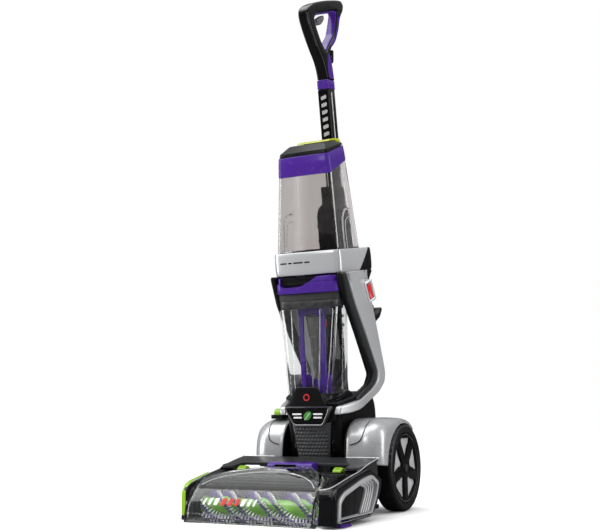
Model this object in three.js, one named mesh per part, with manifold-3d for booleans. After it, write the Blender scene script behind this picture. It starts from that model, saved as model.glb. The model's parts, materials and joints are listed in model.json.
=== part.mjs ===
// Upright carpet cleaner: a wheeled foot with two brush rolls, and an upper
// body with two tanks and a handle that reclines about the wheel axle.
// Millimetres, +Z up, front of the foot towards -Y, origin on the floor.

import * as THREE from "three";
import { mergeVertices } from "three/addons/utils/BufferGeometryUtils.js";
import Module from "manifold-3d";

const wasm = await Module();
wasm.setup();

// ---------- driving dimensions ----------

const GAP = 0.4; // clearance between pieces that touch
const WALL = 3; // moulded shell thickness

const WHEEL_RADIUS = 88;
const WHEEL_WIDTH = 42;
const WHEEL_OUTER = 151.5; // outer wheel face from the middle plane
const AXLE_RADIUS = 6;
const AXLE_Y = 143;

const LEAN = (10 * Math.PI) / 180; // the parked body leans forward
const FOOT_FRONT = -231; // front lip of the nozzle
const FOOT_HALF = 161; // half of the overall width
const FOOT_FLOOR = 12; // underside of the chassis plate
const SKID_LOW = 0.2; // underside of the skids
const CHAMBER_LEFT = -130; // brush chamber, inside faces
const CHAMBER_RIGHT = 121;

const BRUSH_RADIUS = 28;
const BRUSH_CORE = 15;
const BRUSH_HEIGHT = BRUSH_RADIUS + 1.5;
const BRUSH_FRONT_Y = FOOT_FRONT + 16 + BRUSH_RADIUS;
const BRUSH_PITCH = 2 * BRUSH_RADIUS + 1;
const NOZZLE_BULGE = 2 * (BRUSH_RADIUS - 28); // a larger brush needs a taller nozzle

const PULLEY_RADIUS = 13;
const MOTOR_PULLEY_RADIUS = 9;
const BELT_THICK = 2;
const BELT_WIDTH = 7;
const DRIVE_X = 128; // inside face of the belt drive
const MOTOR_Y = -42;
const MOTOR_Z = 42;
const MOTOR_RADIUS = 20;

const LOWER_HALF = 60; // half width of the lower body housing
const ARM_INNER = 72;
const ARM_OUTER = 88;
const COLLAR_LOW = 503;
const COLLAR_TOP = 550;
const COLLAR_FRONT = 59;
const COLLAR_HALF = 76;
const BODY_HALF = 90; // half width at the back of the collar
const BODY_REAR = 218;
const SHELL_SPLIT = 152; // where the silver collar meets the rear housing

const TANK_SEAT = 520; // clean tank stands here
const BAND_LOW = 708; // purple band, at its front
const BAND_TALL = 41;
const BAND_RISE_LOW = 0.36; // rise of the band per millimetre towards the rear
const BAND_RISE_TOP = 0.25;
const TANK_FRONT_LOW = 64;
const TANK_FRONT_TOP = 84;
const TANK_HALF_LOW = 72;
const TANK_HALF_TOP = 61;
const TANK_REAR = 188;

const DIRTY_LOW = 246;
const DIRTY_TOP = 462;
const DIRTY_REAR = 132;
const LID_LOW = 466;
const LID_TOP = 499;

const STICK_HALF = 12.5;
const STICK_FRONT = 214;
const STICK_REAR = 256;
const STICK_LOW = 690;
const STICK_TOP = 904;
const SLEEVE_TALL = 20;

// ---------- materials ----------

function plastic(color, roughness, metalness = 0) {
  return new THREE.MeshStandardMaterial({ color, roughness, metalness });
}

const black = plastic(0x17181a, 0.45);
const glossBlack = plastic(0x0d0e10, 0.18);
const charcoal = plastic(0x3b3d40, 0.4);
const silver = plastic(0xb9bcc0, 0.35, 0.6);
const chrome = plastic(0xe6e8ea, 0.12, 1);
const purple = plastic(0x4a2a8c, 0.3);
const lime = plastic(0x9fd22a, 0.4);
const clear = plastic(0xdde2e6, 0.08);
const smoke = plastic(0xa8a6a8, 0.12);
const greyTube = plastic(0x7d7b76, 0.35);
const red = plastic(0xe0202c, 0.25);
const rubber = plastic(0x141414, 0.85);
const steel = plastic(0x9a9ea3, 0.3, 1);

// ---------- solids ----------

// A closed geometry, as a solid that can be joined and cut.
function solid(geometry) {
  const bare = new THREE.BufferGeometry();
  bare.setAttribute("position", geometry.getAttribute("position"));
  if (geometry.index) bare.setIndex(geometry.index);
  const merged = mergeVertices(bare, 1e-4);
  return new wasm.Manifold(
    new wasm.Mesh({
      numProp: 3,
      vertProperties: new Float32Array(merged.attributes.position.array),
      triVerts: new Uint32Array(merged.index.array),
    }),
  );
}

function asGeometry(made) {
  if (made.isBufferGeometry) return made;
  const mesh = made.getMesh();
  const geometry = new THREE.BufferGeometry();
  geometry.setAttribute(
    "position",
    new THREE.BufferAttribute(mesh.vertProperties.slice(), 3),
  );
  geometry.setIndex(new THREE.BufferAttribute(mesh.triVerts.slice(), 1));
  geometry.computeVertexNormals();
  return geometry;
}

function joined(...parts) {
  return parts.map(toSolid).reduce((all, one) => all.add(one));
}

function cut(body, ...tools) {
  return tools.map(toSolid).reduce((left, one) => left.subtract(one), toSolid(body));
}

function toSolid(part) {
  return part.isBufferGeometry ? solid(part) : part;
}

function box([x0, x1], [y0, y1], [z0, z1]) {
  const geometry = new THREE.BoxGeometry(x1 - x0, y1 - y0, z1 - z0);
  return geometry.translate((x0 + x1) / 2, (y0 + y1) / 2, (z0 + z1) / 2);
}

// A rod along X through (y, z).
function rodX(radius, [x0, x1], y, z, sides = 24) {
  const geometry = new THREE.CylinderGeometry(radius, radius, x1 - x0, sides);
  return geometry.rotateZ(Math.PI / 2).translate((x0 + x1) / 2, y, z);
}

// A rod along Z through (x, y).
function rodZ(radius, [z0, z1], x, y, sides = 24) {
  const geometry = new THREE.CylinderGeometry(radius, radius, z1 - z0, sides);
  return geometry.rotateX(Math.PI / 2).translate(x, y, (z0 + z1) / 2);
}

// Twice the signed area of a polygon, positive when it runs counter-clockwise.
function turning(points) {
  return points.reduce((sum, [x, y], i) => {
    const [nx, ny] = points[(i + 1) % points.length];
    return sum + x * ny - nx * y;
  }, 0);
}

// A counter-clockwise polygon whose corners are rounded by a radius.
function rounded(points, radius) {
  const run = turning(points) > 0 ? points : [...points].reverse();
  const shape = new THREE.Shape();
  run.forEach(([x, y], i) => {
    const [px, py] = run[(i + run.length - 1) % run.length];
    const [nx, ny] = run[(i + 1) % run.length];
    const before = Math.hypot(px - x, py - y);
    const after = Math.hypot(nx - x, ny - y);
    const reach = Math.min(radius, before * 0.45, after * 0.45);
    const start = [x + ((px - x) / before) * reach, y + ((py - y) / before) * reach];
    const end = [x + ((nx - x) / after) * reach, y + ((ny - y) / after) * reach];
    if (i === 0) shape.moveTo(...start);
    else shape.lineTo(...start);
    if (reach > 0.5) shape.quadraticCurveTo(x, y, ...end);
  });
  shape.closePath();
  return shape;
}

// The polygon moved inwards by a distance, outwards when it is negative.
function inset(points, distance) {
  const turn = Math.sign(turning(points));
  return points.map(([x, y], i) => {
    const [px, py] = points[(i + points.length - 1) % points.length];
    const [nx, ny] = points[(i + 1) % points.length];
    const a = new THREE.Vector2(x - px, y - py).normalize();
    const b = new THREE.Vector2(nx - x, ny - y).normalize();
    const inA = new THREE.Vector2(-a.y, a.x).multiplyScalar(turn);
    const inB = new THREE.Vector2(-b.y, b.x).multiplyScalar(turn);
    const middle = inA.clone().add(inB);
    const scale = (2 * distance) / middle.lengthSq();
    return [x + middle.x * scale, y + middle.y * scale];
  });
}

// Turns an outline drawn in (x, y) into one in (y, z), extruded along X.
const ACROSS = new THREE.Matrix4().makeBasis(
  new THREE.Vector3(0, 1, 0),
  new THREE.Vector3(0, 0, 1),
  new THREE.Vector3(1, 0, 0),
);

// A side outline in (y, z), extruded across the machine from x0 to x1.
function sidePlate(points, [x0, x1], radius = 0, hole = null) {
  const shape = rounded(points, radius);
  if (hole) shape.holes.push(rounded(hole, radius));
  const geometry = new THREE.ExtrudeGeometry(shape, {
    depth: x1 - x0,
    bevelEnabled: false,
    curveSegments: 4,
  });
  geometry.applyMatrix4(ACROSS);
  return geometry.translate(x0, 0, 0);
}

// A front outline in (x, z), extruded from front to rear.
function frontPlate(points, [y0, y1], radius = 0, hole = null) {
  const shape = rounded(points, radius);
  if (hole) shape.holes.push(rounded(hole, radius));
  const geometry = new THREE.ExtrudeGeometry(shape, {
    depth: y1 - y0,
    bevelEnabled: false,
    curveSegments: 4,
  });
  return geometry.rotateX(Math.PI / 2).translate(0, y1, 0);
}

// A plan outline in (x, y), extruded upwards.
function planPlate(points, [z0, z1], radius = 0) {
  const geometry = new THREE.ExtrudeGeometry(rounded(points, radius), {
    depth: z1 - z0,
    bevelEnabled: false,
    curveSegments: 4,
  });
  return geometry.translate(0, 0, z0);
}

// One level of a moulded shell: a rounded plan section whose front is bowed.
function section(z, size) {
  const { front, rear, half, halfRear = half, corner = 10, cornerRear = 26 } = size;
  const { bow = 0, rise = 0, shrink = 0 } = size;
  const points = [];
  const steps = 4;
  const corners = [
    [half - corner, front + corner, corner, -90],
    [halfRear - cornerRear, rear - cornerRear, cornerRear, 0],
    [-(halfRear - cornerRear), rear - cornerRear, cornerRear, 90],
    [-(half - corner), front + corner, corner, 180],
  ];
  for (const [cx, cy, radius, start] of corners)
    for (let i = 0; i <= steps; i++) {
      const angle = ((start + (90 * i) / steps) * Math.PI) / 180;
      points.push([cx + radius * Math.cos(angle), cy + radius * Math.sin(angle)]);
    }
  const run = 2 * (half - corner);
  for (let i = 1; i < 6; i++) points.push([-(half - corner) + (run * i) / 6, front]);
  const kept = shrink ? inset(points, shrink) : points;
  return kept.map(([x, y]) => {
    const share = Math.max(0, 1 - (x / half) ** 2);
    const ahead = Math.max(0, 1 - (y - front) / (rear - front));
    return new THREE.Vector3(x, y - bow * share * ahead, z + rise * (y - front));
  });
}

// A closed skin through sections that have the same number of points.
function loft(levels) {
  const count = levels[0].length;
  const position = [];
  const index = [];
  for (const level of levels) for (const p of level) position.push(p.x, p.y, p.z);
  for (let k = 0; k + 1 < levels.length; k++)
    for (let i = 0; i < count; i++) {
      const a = k * count + i;
      const b = k * count + ((i + 1) % count);
      index.push(a, b, b + count, a, b + count, a + count);
    }
  for (const k of [0, levels.length - 1]) {
    const middle = new THREE.Vector3();
    for (const p of levels[k]) middle.addScaledVector(p, 1 / count);
    const centre = position.length / 3;
    position.push(middle.x, middle.y, middle.z);
    for (let i = 0; i < count; i++) {
      const a = k * count + i;
      const b = k * count + ((i + 1) % count);
      if (k === 0) index.push(centre, b, a);
      else index.push(centre, a, b);
    }
  }
  const geometry = new THREE.BufferGeometry();
  geometry.setAttribute("position", new THREE.Float32BufferAttribute(position, 3));
  geometry.setIndex(index);
  return geometry;
}

// The same piece on the other side of the middle plane.
function mirrored(part) {
  const geometry = asGeometry(toSolid(part));
  geometry.scale(-1, 1, 1);
  const index = geometry.index.array.slice();
  for (let i = 0; i < index.length; i += 3) {
    [index[i + 1], index[i + 2]] = [index[i + 2], index[i + 1]];
  }
  geometry.setIndex(new THREE.BufferAttribute(index, 1));
  return geometry;
}

function node(parent, name, part, material) {
  const mesh = new THREE.Mesh(asGeometry(part), material);
  mesh.name = name;
  parent.add(mesh);
  return mesh;
}

// ---------- foot ----------

const WINDOW_TOP = 98;
const WINDOW_REAR = -92;
// Outside line of the nozzle from the front lip to the back edge, in (y, z).
const nozzleLine = [
  [FOOT_FRONT, 1],
  [FOOT_FRONT + 2, 16],
  [FOOT_FRONT + 10, 42 + NOZZLE_BULGE / 2],
  [FOOT_FRONT + 30, 64 + NOZZLE_BULGE],
  [FOOT_FRONT + 62, 81 + NOZZLE_BULGE],
  [FOOT_FRONT + 100, 91 + NOZZLE_BULGE / 2],
  [WINDOW_REAR, WINDOW_TOP],
];

// Inside line of the clear window.
const windowInner = nozzleLine.map(([y, z], i) => [y + (i < 4 ? WALL : 1), z - (i < 2 ? 0 : WALL)]);

const HOOD_DEPTH = 9;
const COVER_FACE = FOOT_HALF - 2; // outer face of the belt cover
const coverLine = [
  [FOOT_FRONT + 9, 4],
  [FOOT_FRONT + 8, 60],
  [FOOT_FRONT + 16, 68],
  [-140, 85],
  [-67, 97],
  [-30, 88],
  [-9, 76],
  [-14, 55],
  [-35, 27],
  [-53, 12],
  [-64, 9],
];

function chassis() {
  const plate = box([CHAMBER_LEFT, CHAMBER_RIGHT], [-78, 62], [FOOT_FLOOR, FOOT_FLOOR + 8]);
  const bulkhead = box([CHAMBER_LEFT, CHAMBER_RIGHT], [-78, -72], [FOOT_FLOOR, 76]);
  const endLine = [
    [FOOT_FRONT + 17, 5],
    [FOOT_FRONT + 20, 44],
    [-170, 66],
    [-78, 76],
    [-60, 76],
    [-60, 5],
  ];
  const leftEnd = sidePlate(endLine, [CHAMBER_LEFT - 4, CHAMBER_LEFT]);
  const rightEnd = sidePlate(endLine, [CHAMBER_RIGHT, CHAMBER_RIGHT + 4]);
  const cheekLine = [
    [30, FOOT_FLOOR],
    [62, FOOT_FLOOR],
    [AXLE_Y + 20, WHEEL_RADIUS - 30],
    [AXLE_Y + 20, WHEEL_RADIUS + 20],
    [AXLE_Y - 20, WHEEL_RADIUS + 20],
    [30, FOOT_FLOOR + 30],
  ];
  const cheek = LOWER_HALF + 2;
  const cheeks = [
    sidePlate(cheekLine, [cheek, cheek + 6]),
    sidePlate(cheekLine, [-cheek - 6, -cheek]),
  ];
  const skids = [
    box([CHAMBER_LEFT - 4, CHAMBER_LEFT + 8], [-72, -50], [SKID_LOW, FOOT_FLOOR + 1]),
    box([CHAMBER_RIGHT - 8, CHAMBER_RIGHT + 4], [-72, -50], [SKID_LOW, FOOT_FLOOR + 1]),
  ];
  const whole = joined(plate, bulkhead, leftEnd, rightEnd, ...cheeks, ...skids);
  return cut(
    whole,
    rodX(AXLE_RADIUS + GAP, [-80, 80], AXLE_Y, WHEEL_RADIUS, 16),
    rodX(7, [CHAMBER_RIGHT - 1, CHAMBER_RIGHT + 5], BRUSH_FRONT_Y + BRUSH_PITCH, BRUSH_HEIGHT, 16),
    rodX(5, [CHAMBER_RIGHT - 1, CHAMBER_RIGHT + 5], MOTOR_Y, MOTOR_Z, 16),
  );
}

function brushHood() {
  const under = nozzleLine.slice(4).map(([y, z]) => [y, z - HOOD_DEPTH]);
  const upper = [[FOOT_FRONT + 46, 66 + NOZZLE_BULGE], ...under, [-80, WINDOW_TOP - HOOD_DEPTH]];
  const lower = upper.map(([y, z]) => [y, z - WALL]).reverse();
  return sidePlate([...upper, ...lower], [CHAMBER_LEFT + GAP, CHAMBER_RIGHT - GAP]);
}

function nozzleWindow() {
  const skin = sidePlate([...nozzleLine, ...[...windowInner].reverse()], [-149, 121]);
  const plan = planPlate(
    [
      [-149, FOOT_FRONT - 5],
      [121, FOOT_FRONT - 5],
      [121, -200],
      [92, -138],
      [50, WINDOW_REAR - GAP],
      [-55, WINDOW_REAR - GAP],
      [-100, -118],
      [-149, -178],
    ],
    [-5, 120],
  );
  return toSolid(skin).intersect(toSolid(plan));
}

function beltCover() {
  const outer = sidePlate(coverLine, [CHAMBER_RIGHT + 4 + GAP, COVER_FACE], 6);
  const inner = sidePlate(inset(coverLine, WALL), [CHAMBER_RIGHT, COVER_FACE - WALL], 4);
  return cut(outer, inner);
}

function beltCoverTrim() {
  const line = [
    [-212, 9],
    [-208, 46],
    [-186, 60],
    [-96, 80],
    [-58, 84],
    [-30, 70],
    [-40, 46],
    [-68, 12],
  ];
  return sidePlate(line, [COVER_FACE + GAP, FOOT_HALF], 8, inset(line, 7));
}

function leftEndPlate() {
  const outer = sidePlate(coverLine, [-FOOT_HALF + 11, CHAMBER_LEFT - 4 - GAP], 6);
  const clearOf = windowInner.map(([y, z]) => [y + GAP, z - GAP]).reverse();
  const above = [[-300, -5], [-300, 150], [-60, 150], [-60, WINDOW_TOP - 5]];
  const underWindow = sidePlate([...above, ...clearOf], [-149 - GAP, -100]);
  return cut(outer, underWindow);
}

// Lime strip along the front and top edge of the left end.
function leftEndCover() {
  const edge = [[FOOT_FRONT + 9, 14], ...coverLine.slice(1, 4)];
  const inner = inset([...edge, [-100, -60]], 11).slice(0, 4);
  return sidePlate([...edge, ...inner.reverse()], [-FOOT_HALF, -FOOT_HALF + 11 - GAP], 4);
}

function footCover() {
  const line = [
    [-104, 93],
    [-104, 99],
    [-62, 104],
    [-13, 113],
    [6, 113],
    [6, 105],
    [-13, 104.5],
    [-64, 98],
  ];
  const plate = sidePlate(line, [-151, 151]);
  const opening = box([-120, 120], [-120, -60], [80, 120]);
  const rear = box([LOWER_HALF + 9, 151], [-2, 20], [80, 120]);
  const rearLeft = box([-151, -LOWER_HALF - 9], [-2, 20], [80, 120]);
  return cut(plate, opening, rear, rearLeft);
}

// Silver fender over a wheel, on the right side.
function fender() {
  const line = [
    [14, 100],
    [13, 124],
    [19, 158],
    [36, 180],
    [66, 189],
    [AXLE_Y, 190],
    [186, 180],
    [220, 152],
    [231, 118],
    [231, 100],
  ];
  const inner = LOWER_HALF + 10;
  const outer = WHEEL_OUTER - 5;
  const shell = cut(
    sidePlate(line, [inner, outer], 8),
    sidePlate(inset(line, WALL), [inner + WALL, outer - WALL], 6),
    box([inner - 1, outer + 1], [0, 260], [80, 104]),
  );
  const well = rodX(WHEEL_RADIUS + 5, [inner + 34, outer + 5], AXLE_Y, WHEEL_RADIUS, 48);
  return cut(shell, well);
}

// A brush roll: a core with twisted rows of bristles, along X.
function brushRoll(y, length) {
  const [x0, x1] = length;
  const levels = [];
  const slices = 16;
  for (let k = 0; k <= slices; k++) {
    const level = [];
    const twist = (k / slices) * Math.PI * 1.5;
    for (let i = 0; i < 16; i++) {
      const angle = (i / 16) * Math.PI * 2;
      const radius = i % 4 === 0 ? BRUSH_RADIUS : i % 2 ? BRUSH_CORE + 3 : BRUSH_CORE;
      const along = x0 + ((x1 - x0) * k) / slices;
      const a = angle + twist;
      level.push(
        new THREE.Vector3(along, y + radius * Math.cos(a), BRUSH_HEIGHT + radius * Math.sin(a)),
      );
    }
    levels.push(level);
  }
  return loft(levels);
}

function driveBelt(rearY) {
  const loop = (extra) => {
    const points = [];
    const far = MOTOR_PULLEY_RADIUS + extra;
    const near = PULLEY_RADIUS + extra;
    for (let i = 0; i <= 8; i++) {
      const a = -Math.PI / 2 + (Math.PI * i) / 8;
      points.push([MOTOR_Y + far * Math.cos(a), MOTOR_Z + far * Math.sin(a)]);
    }
    for (let i = 0; i <= 8; i++) {
      const a = Math.PI / 2 + (Math.PI * i) / 8;
      points.push([rearY + near * Math.cos(a), BRUSH_HEIGHT + near * Math.sin(a)]);
    }
    return points;
  };
  const width = [DRIVE_X + 1, DRIVE_X + 1 + BELT_WIDTH];
  return sidePlate(loop(GAP + BELT_THICK), width, 0, loop(GAP));
}

function spokedRim() {
  const outside = WHEEL_OUTER - 2;
  const inside = WHEEL_OUTER - WHEEL_WIDTH + 3;
  const ring = cut(
    rodX(WHEEL_RADIUS - 16, [inside, outside], 0, 0, 40),
    rodX(WHEEL_RADIUS - 24, [inside + 8, outside + 1], 0, 0, 40),
  );
  const hub = rodX(13, [inside, outside - 1], 0, 0, 20);
  const spokes = [];
  for (let i = 0; i < 5; i++) {
    const spoke = box([outside - 9, outside - 2], [-6, 6], [8, WHEEL_RADIUS - 22]);
    spokes.push(spoke.rotateX((i * 2 * Math.PI) / 5));
  }
  const bore = rodX(AXLE_RADIUS + GAP, [inside - 1, outside - 6], 0, 0, 16);
  return cut(joined(ring, hub, ...spokes), bore);
}

function tyre() {
  const outer = WHEEL_OUTER;
  const inner = WHEEL_OUTER - WHEEL_WIDTH;
  const body = joined(
    rodX(WHEEL_RADIUS, [inner + 4, outer - 4], 0, 0, 48),
    rodX(WHEEL_RADIUS - 4, [inner, outer], 0, 0, 48),
  );
  return cut(body, rodX(WHEEL_RADIUS - 16 + GAP, [inner - 1, outer + 1], 0, 0, 40));
}

// ---------- upper body, in upright coordinates ----------

const armFront = [
  [68, COLLAR_LOW - GAP],
  [94, 445],
  [148, 358],
  [190, 284],
  [180, 262],
  [147, 251],
  [80, 239],
];
const armBack = [
  [23, 236],
  [17, 221],
  [50, 219],
  [83, 221],
  [183, 240],
  [217, 256],
  [225, 276],
  [207, 350],
  [183, 437],
  [174, 479],
  [172, COLLAR_LOW - GAP],
];
const trimInner = [
  [66, 244],
  [138, 263],
  [158, 282],
  [92, 404],
  [52, 478],
  [50, COLLAR_LOW - GAP],
];

const TURN_IN = 21; // how far the front end of an arm comes in
const TURN_START = 86;
const TURN_END = 17;
const TURN_TOP = 300; // only what is lower turns in

// The lower end of an arm turns in towards the badge.
function turnIn(geometry) {
  const place = geometry.getAttribute("position");
  for (let i = 0; i < place.count; i++) {
    const along = (TURN_START - place.getY(i)) / (TURN_START - TURN_END);
    const share = Math.min(1, Math.max(0, along));
    if (place.getZ(i) < TURN_TOP) place.setX(i, place.getX(i) - TURN_IN * share ** 1.4);
  }
  return geometry;
}

const SWITCH_Y = 163;
const SWITCH_Z = 457;
const SWITCH_TILT = -0.4;
const SWITCH_LONG = 23;
const SWITCH_WIDE = 9;
const ROCKER_LONG = 17;
const ROCKER_WIDE = 5;
const ROCKER_ROOM = 0.9;

// A rounded tile lying in the side face, long way along the tilted switch.
function switchTile(halfWide, halfLong, [x0, x1], hole = null) {
  const tile = (w, l) => [
    [-w, -l],
    [w, -l],
    [w, l],
    [-w, l],
  ];
  const inner = hole ? tile(hole[0], hole[1]) : null;
  const geometry = sidePlate(tile(halfWide, halfLong), [0, x1 - x0], 2, inner);
  return geometry.rotateX(-SWITCH_TILT).translate(x0, SWITCH_Y, SWITCH_Z);
}

function silverArm() {
  const plate = sidePlate([...armFront, ...armBack], [ARM_INNER + 3, ARM_OUTER], 5);
  const bent = turnIn(plate);
  const pocket = switchTile(
    ROCKER_WIDE + ROCKER_ROOM,
    ROCKER_LONG + ROCKER_ROOM,
    [ARM_OUTER - 7, ARM_OUTER + 1],
  );
  return cut(bent, pocket);
}

// Charcoal trim behind the front and lower edges of an arm.
function armTrim() {
  const upperPoints = 4;
  const edge = armFront.map(([y, z], i) => (i < upperPoints ? [y - 0.6, z] : [y, z + 0.6]));
  return turnIn(sidePlate([...edge, ...trimInner], [ARM_INNER - 2, ARM_OUTER - 6], 4));
}

const collarSize = {
  front: COLLAR_FRONT,
  rear: BODY_REAR,
  half: COLLAR_HALF,
  halfRear: BODY_HALF,
  corner: 9,
  cornerRear: 34,
};

function collar() {
  const size = { ...collarSize, bow: 6 };
  const outer = loft([section(COLLAR_LOW, size), section(COLLAR_TOP, size)]);
  const seat = tankSize(0, -GAP - 0.6);
  const pocket = loft([section(TANK_SEAT - GAP, seat), section(COLLAR_TOP + 5, seat)]);
  const under = loft([
    section(COLLAR_LOW - 5, { ...size, shrink: 8 }),
    section(TANK_SEAT - 8, { ...size, shrink: 8 }),
  ]);
  return cut(outer, pocket, under, box([-120, 120], [SHELL_SPLIT, 300], [400, 700]));
}

// Plan section of the clean tank at a share of its height.
function tankSize(share, shrink = 0) {
  return {
    front: TANK_FRONT_LOW + (TANK_FRONT_TOP - TANK_FRONT_LOW) * share,
    rear: TANK_REAR,
    half: TANK_HALF_LOW + (TANK_HALF_TOP - TANK_HALF_LOW) * share,
    halfRear: TANK_HALF_LOW + 6 + (TANK_HALF_TOP - TANK_HALF_LOW - 6) * share,
    corner: 8,
    cornerRear: 30,
    bow: 4,
    shrink,
  };
}

function rearHousing() {
  const size = collarSize;
  const seat = tankSize(0, -GAP - 0.6);
  const shrunk = { ...size, rear: BODY_REAR - 14, halfRear: BODY_HALF - 22 };
  const top = cut(
    loft([section(452, shrunk), section(490, size), section(COLLAR_TOP, size)]),
    box([-120, 120], [0, SHELL_SPLIT + GAP], [400, 700]),
    box([ARM_INNER - 3, 120], [0, BODY_REAR - 14], [400, COLLAR_LOW]),
    box([-120, -ARM_INNER + 3], [0, BODY_REAR - 14], [400, COLLAR_LOW]),
    loft([section(TANK_SEAT - GAP, seat), section(COLLAR_TOP + 5, seat)]),
  );
  const spine = box([-15, 15], [TANK_REAR + 4, STICK_REAR + 2], [480, STICK_LOW - GAP]);
  const bossTop = [[-29, 620], [29, 620], [22, 644], [8, 654], [-8, 654], [-22, 644]];
  const bossDeep = [TANK_REAR + 3, 246];
  const boss = joined(box([-29, 29], bossDeep, [500, 622]), frontPlate(bossTop, bossDeep));
  const column = box([-24, 24], [DIRTY_REAR + 5, 168], [230, 470]);
  const lowerLine = [
    [33, 132],
    [100, 124],
    [120, 104],
    [121, 76],
    [165, 76],
    [168, 100],
    [196, 118],
    [216, 150],
    [223, 186],
    [222, 216],
    [206, 240],
    [150, 242],
    [33, 242],
  ];
  const lower = sidePlate(lowerLine, [-LOWER_HALF, LOWER_HALF], 10);
  const link = box([-24, 24], [DIRTY_REAR + 5, SHELL_SPLIT + 10], [452, COLLAR_LOW - 1]);
  const armRoom = [
    box([36, 70], [0, 58], [214, 260]),
    box([-70, -36], [0, 58], [214, 260]),
  ];
  const motorBay = rodX(42, [-52, 52], 165, 178, 32);
  const vent = box([-30, 30], [190, 240], [168, 190]);
  const bore = rodX(AXLE_RADIUS + GAP, [-70, 70], AXLE_Y, WHEEL_RADIUS, 16);
  const ductBore = box([-16, 16], [60, 100], [100, 250]);
  const whole = joined(top, spine, boss, column, link, lower);
  return cut(whole, motorBay, vent, bore, ductBore, ...armRoom);
}

function neckGrille() {
  return loft([
    section(133, { front: 19, rear: 32, half: 35, corner: 5, cornerRear: 4, bow: 3 }),
    section(198, { front: 22, rear: 32, half: 43, corner: 5, cornerRear: 4, bow: 3 }),
  ]);
}

const badgeLine = [
  [-31, 203],
  [31, 203],
  [48, 236],
  [-48, 236],
];

function badgePanel() {
  return frontPlate(badgeLine, [9, 32], 5);
}

function badgeTrim() {
  const outer = inset(badgeLine, -3.4);
  const ring = frontPlate(outer, [8, 30], 5, inset(badgeLine, -GAP));
  return cut(ring, box([-80, 80], [0, 60], [236, 260]));
}

function dirtySize(share, shrink = 0) {
  return {
    front: 20 + 30 * share,
    rear: DIRTY_REAR,
    half: 47 + 20 * share,
    halfRear: 47 + 18 * share,
    corner: 12,
    cornerRear: 30,
    bow: 5,
    shrink,
  };
}

function dirtyTankShell() {
  const outer = loft([section(DIRTY_LOW, dirtySize(0)), section(DIRTY_TOP, dirtySize(1))]);
  const inner = loft([
    section(DIRTY_LOW + WALL, dirtySize(0, WALL)),
    section(DIRTY_TOP + 1, dirtySize(1, WALL)),
  ]);
  return cut(outer, inner);
}

function dirtyTankLid() {
  const low = { ...dirtySize(1, -1), rear: DIRTY_REAR + 2 };
  const size = { front: 46, rear: DIRTY_REAR + 2, half: 70, corner: 12, cornerRear: 28, bow: 7 };
  const plug = loft([
    section(DIRTY_TOP - 14, dirtySize(0.93, WALL + GAP + 3)),
    section(LID_LOW + 1, dirtySize(0.93, WALL + GAP + 3)),
  ]);
  const rim = loft([section(DIRTY_TOP + GAP, low), section(LID_LOW + 4, low)]);
  const handle = loft([section(LID_LOW + 3, size), section(LID_TOP, { ...size, front: 50, half: 67 })]);
  const grip = loft([
    section(LID_LOW + 16, { ...size, front: 62, rear: 110, half: 48, cornerRear: 10, bow: 0 }),
    section(LID_TOP + 2, { ...size, front: 60, rear: 112, half: 52, cornerRear: 10, bow: 0 }),
  ]);
  const ductHole = rodZ(13, [DIRTY_TOP - 20, LID_LOW + 10], 0, 84, 16);
  return cut(joined(plug, rim, handle), grip, ductHole);
}

function innerFrame() {
  const legs = [
    box([-27, -21], [56, 76], [DIRTY_LOW + 26, DIRTY_TOP - 36]),
    box([21, 27], [56, 76], [DIRTY_LOW + 26, DIRTY_TOP - 36]),
  ];
  const head = cut(
    box([-27, 27], [56, 106], [DIRTY_TOP - 40, DIRTY_TOP - 18]),
    rodZ(14.5, [DIRTY_TOP - 60, DIRTY_TOP], 0, 84, 20),
  );
  const base = cut(
    box([-27, 27], [50, 106], [DIRTY_LOW + 8, DIRTY_LOW + 30]),
    rodZ(13, [DIRTY_LOW, DIRTY_LOW + 50], 0, 84, 20),
  );
  return joined(head, base, ...legs);
}

function stackTube() {
  const profile = [
    [9, DIRTY_LOW + WALL + 1],
    [12, DIRTY_LOW + WALL + 1],
    [12, DIRTY_LOW + 80],
    [14, DIRTY_LOW + 84],
    [14, DIRTY_TOP - 60],
    [12, DIRTY_TOP - 55],
    [12, DIRTY_TOP - 20],
    [9, DIRTY_TOP - 20],
  ].map(([r, z]) => new THREE.Vector2(r, z));
  const geometry = new THREE.LatheGeometry([...profile, profile[0]], 24);
  return geometry.rotateX(Math.PI / 2).translate(0, 84, 0);
}

function bandSize(shrink = 0) {
  return { ...tankSize(1, shrink), front: TANK_FRONT_TOP, half: TANK_HALF_TOP };
}

function cleanTankShell() {
  const rise = { rise: BAND_RISE_LOW };
  const outer = loft([
    section(TANK_SEAT, tankSize(0)),
    section(BAND_LOW, { ...tankSize(1), ...rise }),
  ]);
  const inner = loft([
    section(TANK_SEAT + WALL, tankSize(0, WALL)),
    section(BAND_LOW + 1, { ...tankSize(1, WALL), ...rise }),
  ]);
  return cut(outer, inner);
}

function cleanTankBand() {
  const low = { ...bandSize(-0.6), rise: BAND_RISE_LOW };
  const top = { ...bandSize(3), rise: BAND_RISE_TOP };
  const outer = loft([section(BAND_LOW + GAP, low), section(BAND_LOW + BAND_TALL, top)]);
  const inner = loft([
    section(BAND_LOW - 1, { ...bandSize(WALL + 2), rise: BAND_RISE_LOW }),
    section(BAND_LOW + BAND_TALL + 1, { ...bandSize(WALL + 4), rise: BAND_RISE_TOP }),
  ]);
  return cut(outer, inner);
}

function cleanTankCap() {
  const rise = BAND_RISE_TOP;
  const base = BAND_LOW + BAND_TALL + GAP;
  return loft([
    section(base, { ...bandSize(4), rise }),
    section(base + 8, { ...bandSize(6), rise: 0.23 }),
    section(base + 20, { ...bandSize(14), front: TANK_FRONT_TOP + 6, rise: 0.14 }),
    section(base + 23, { ...bandSize(22), front: TANK_FRONT_TOP + 10, rise: 0.13 }),
  ]);
}

const GRIP_LOW = SLEEVE_TALL + 2 * GAP; // above the top of the stick

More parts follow.
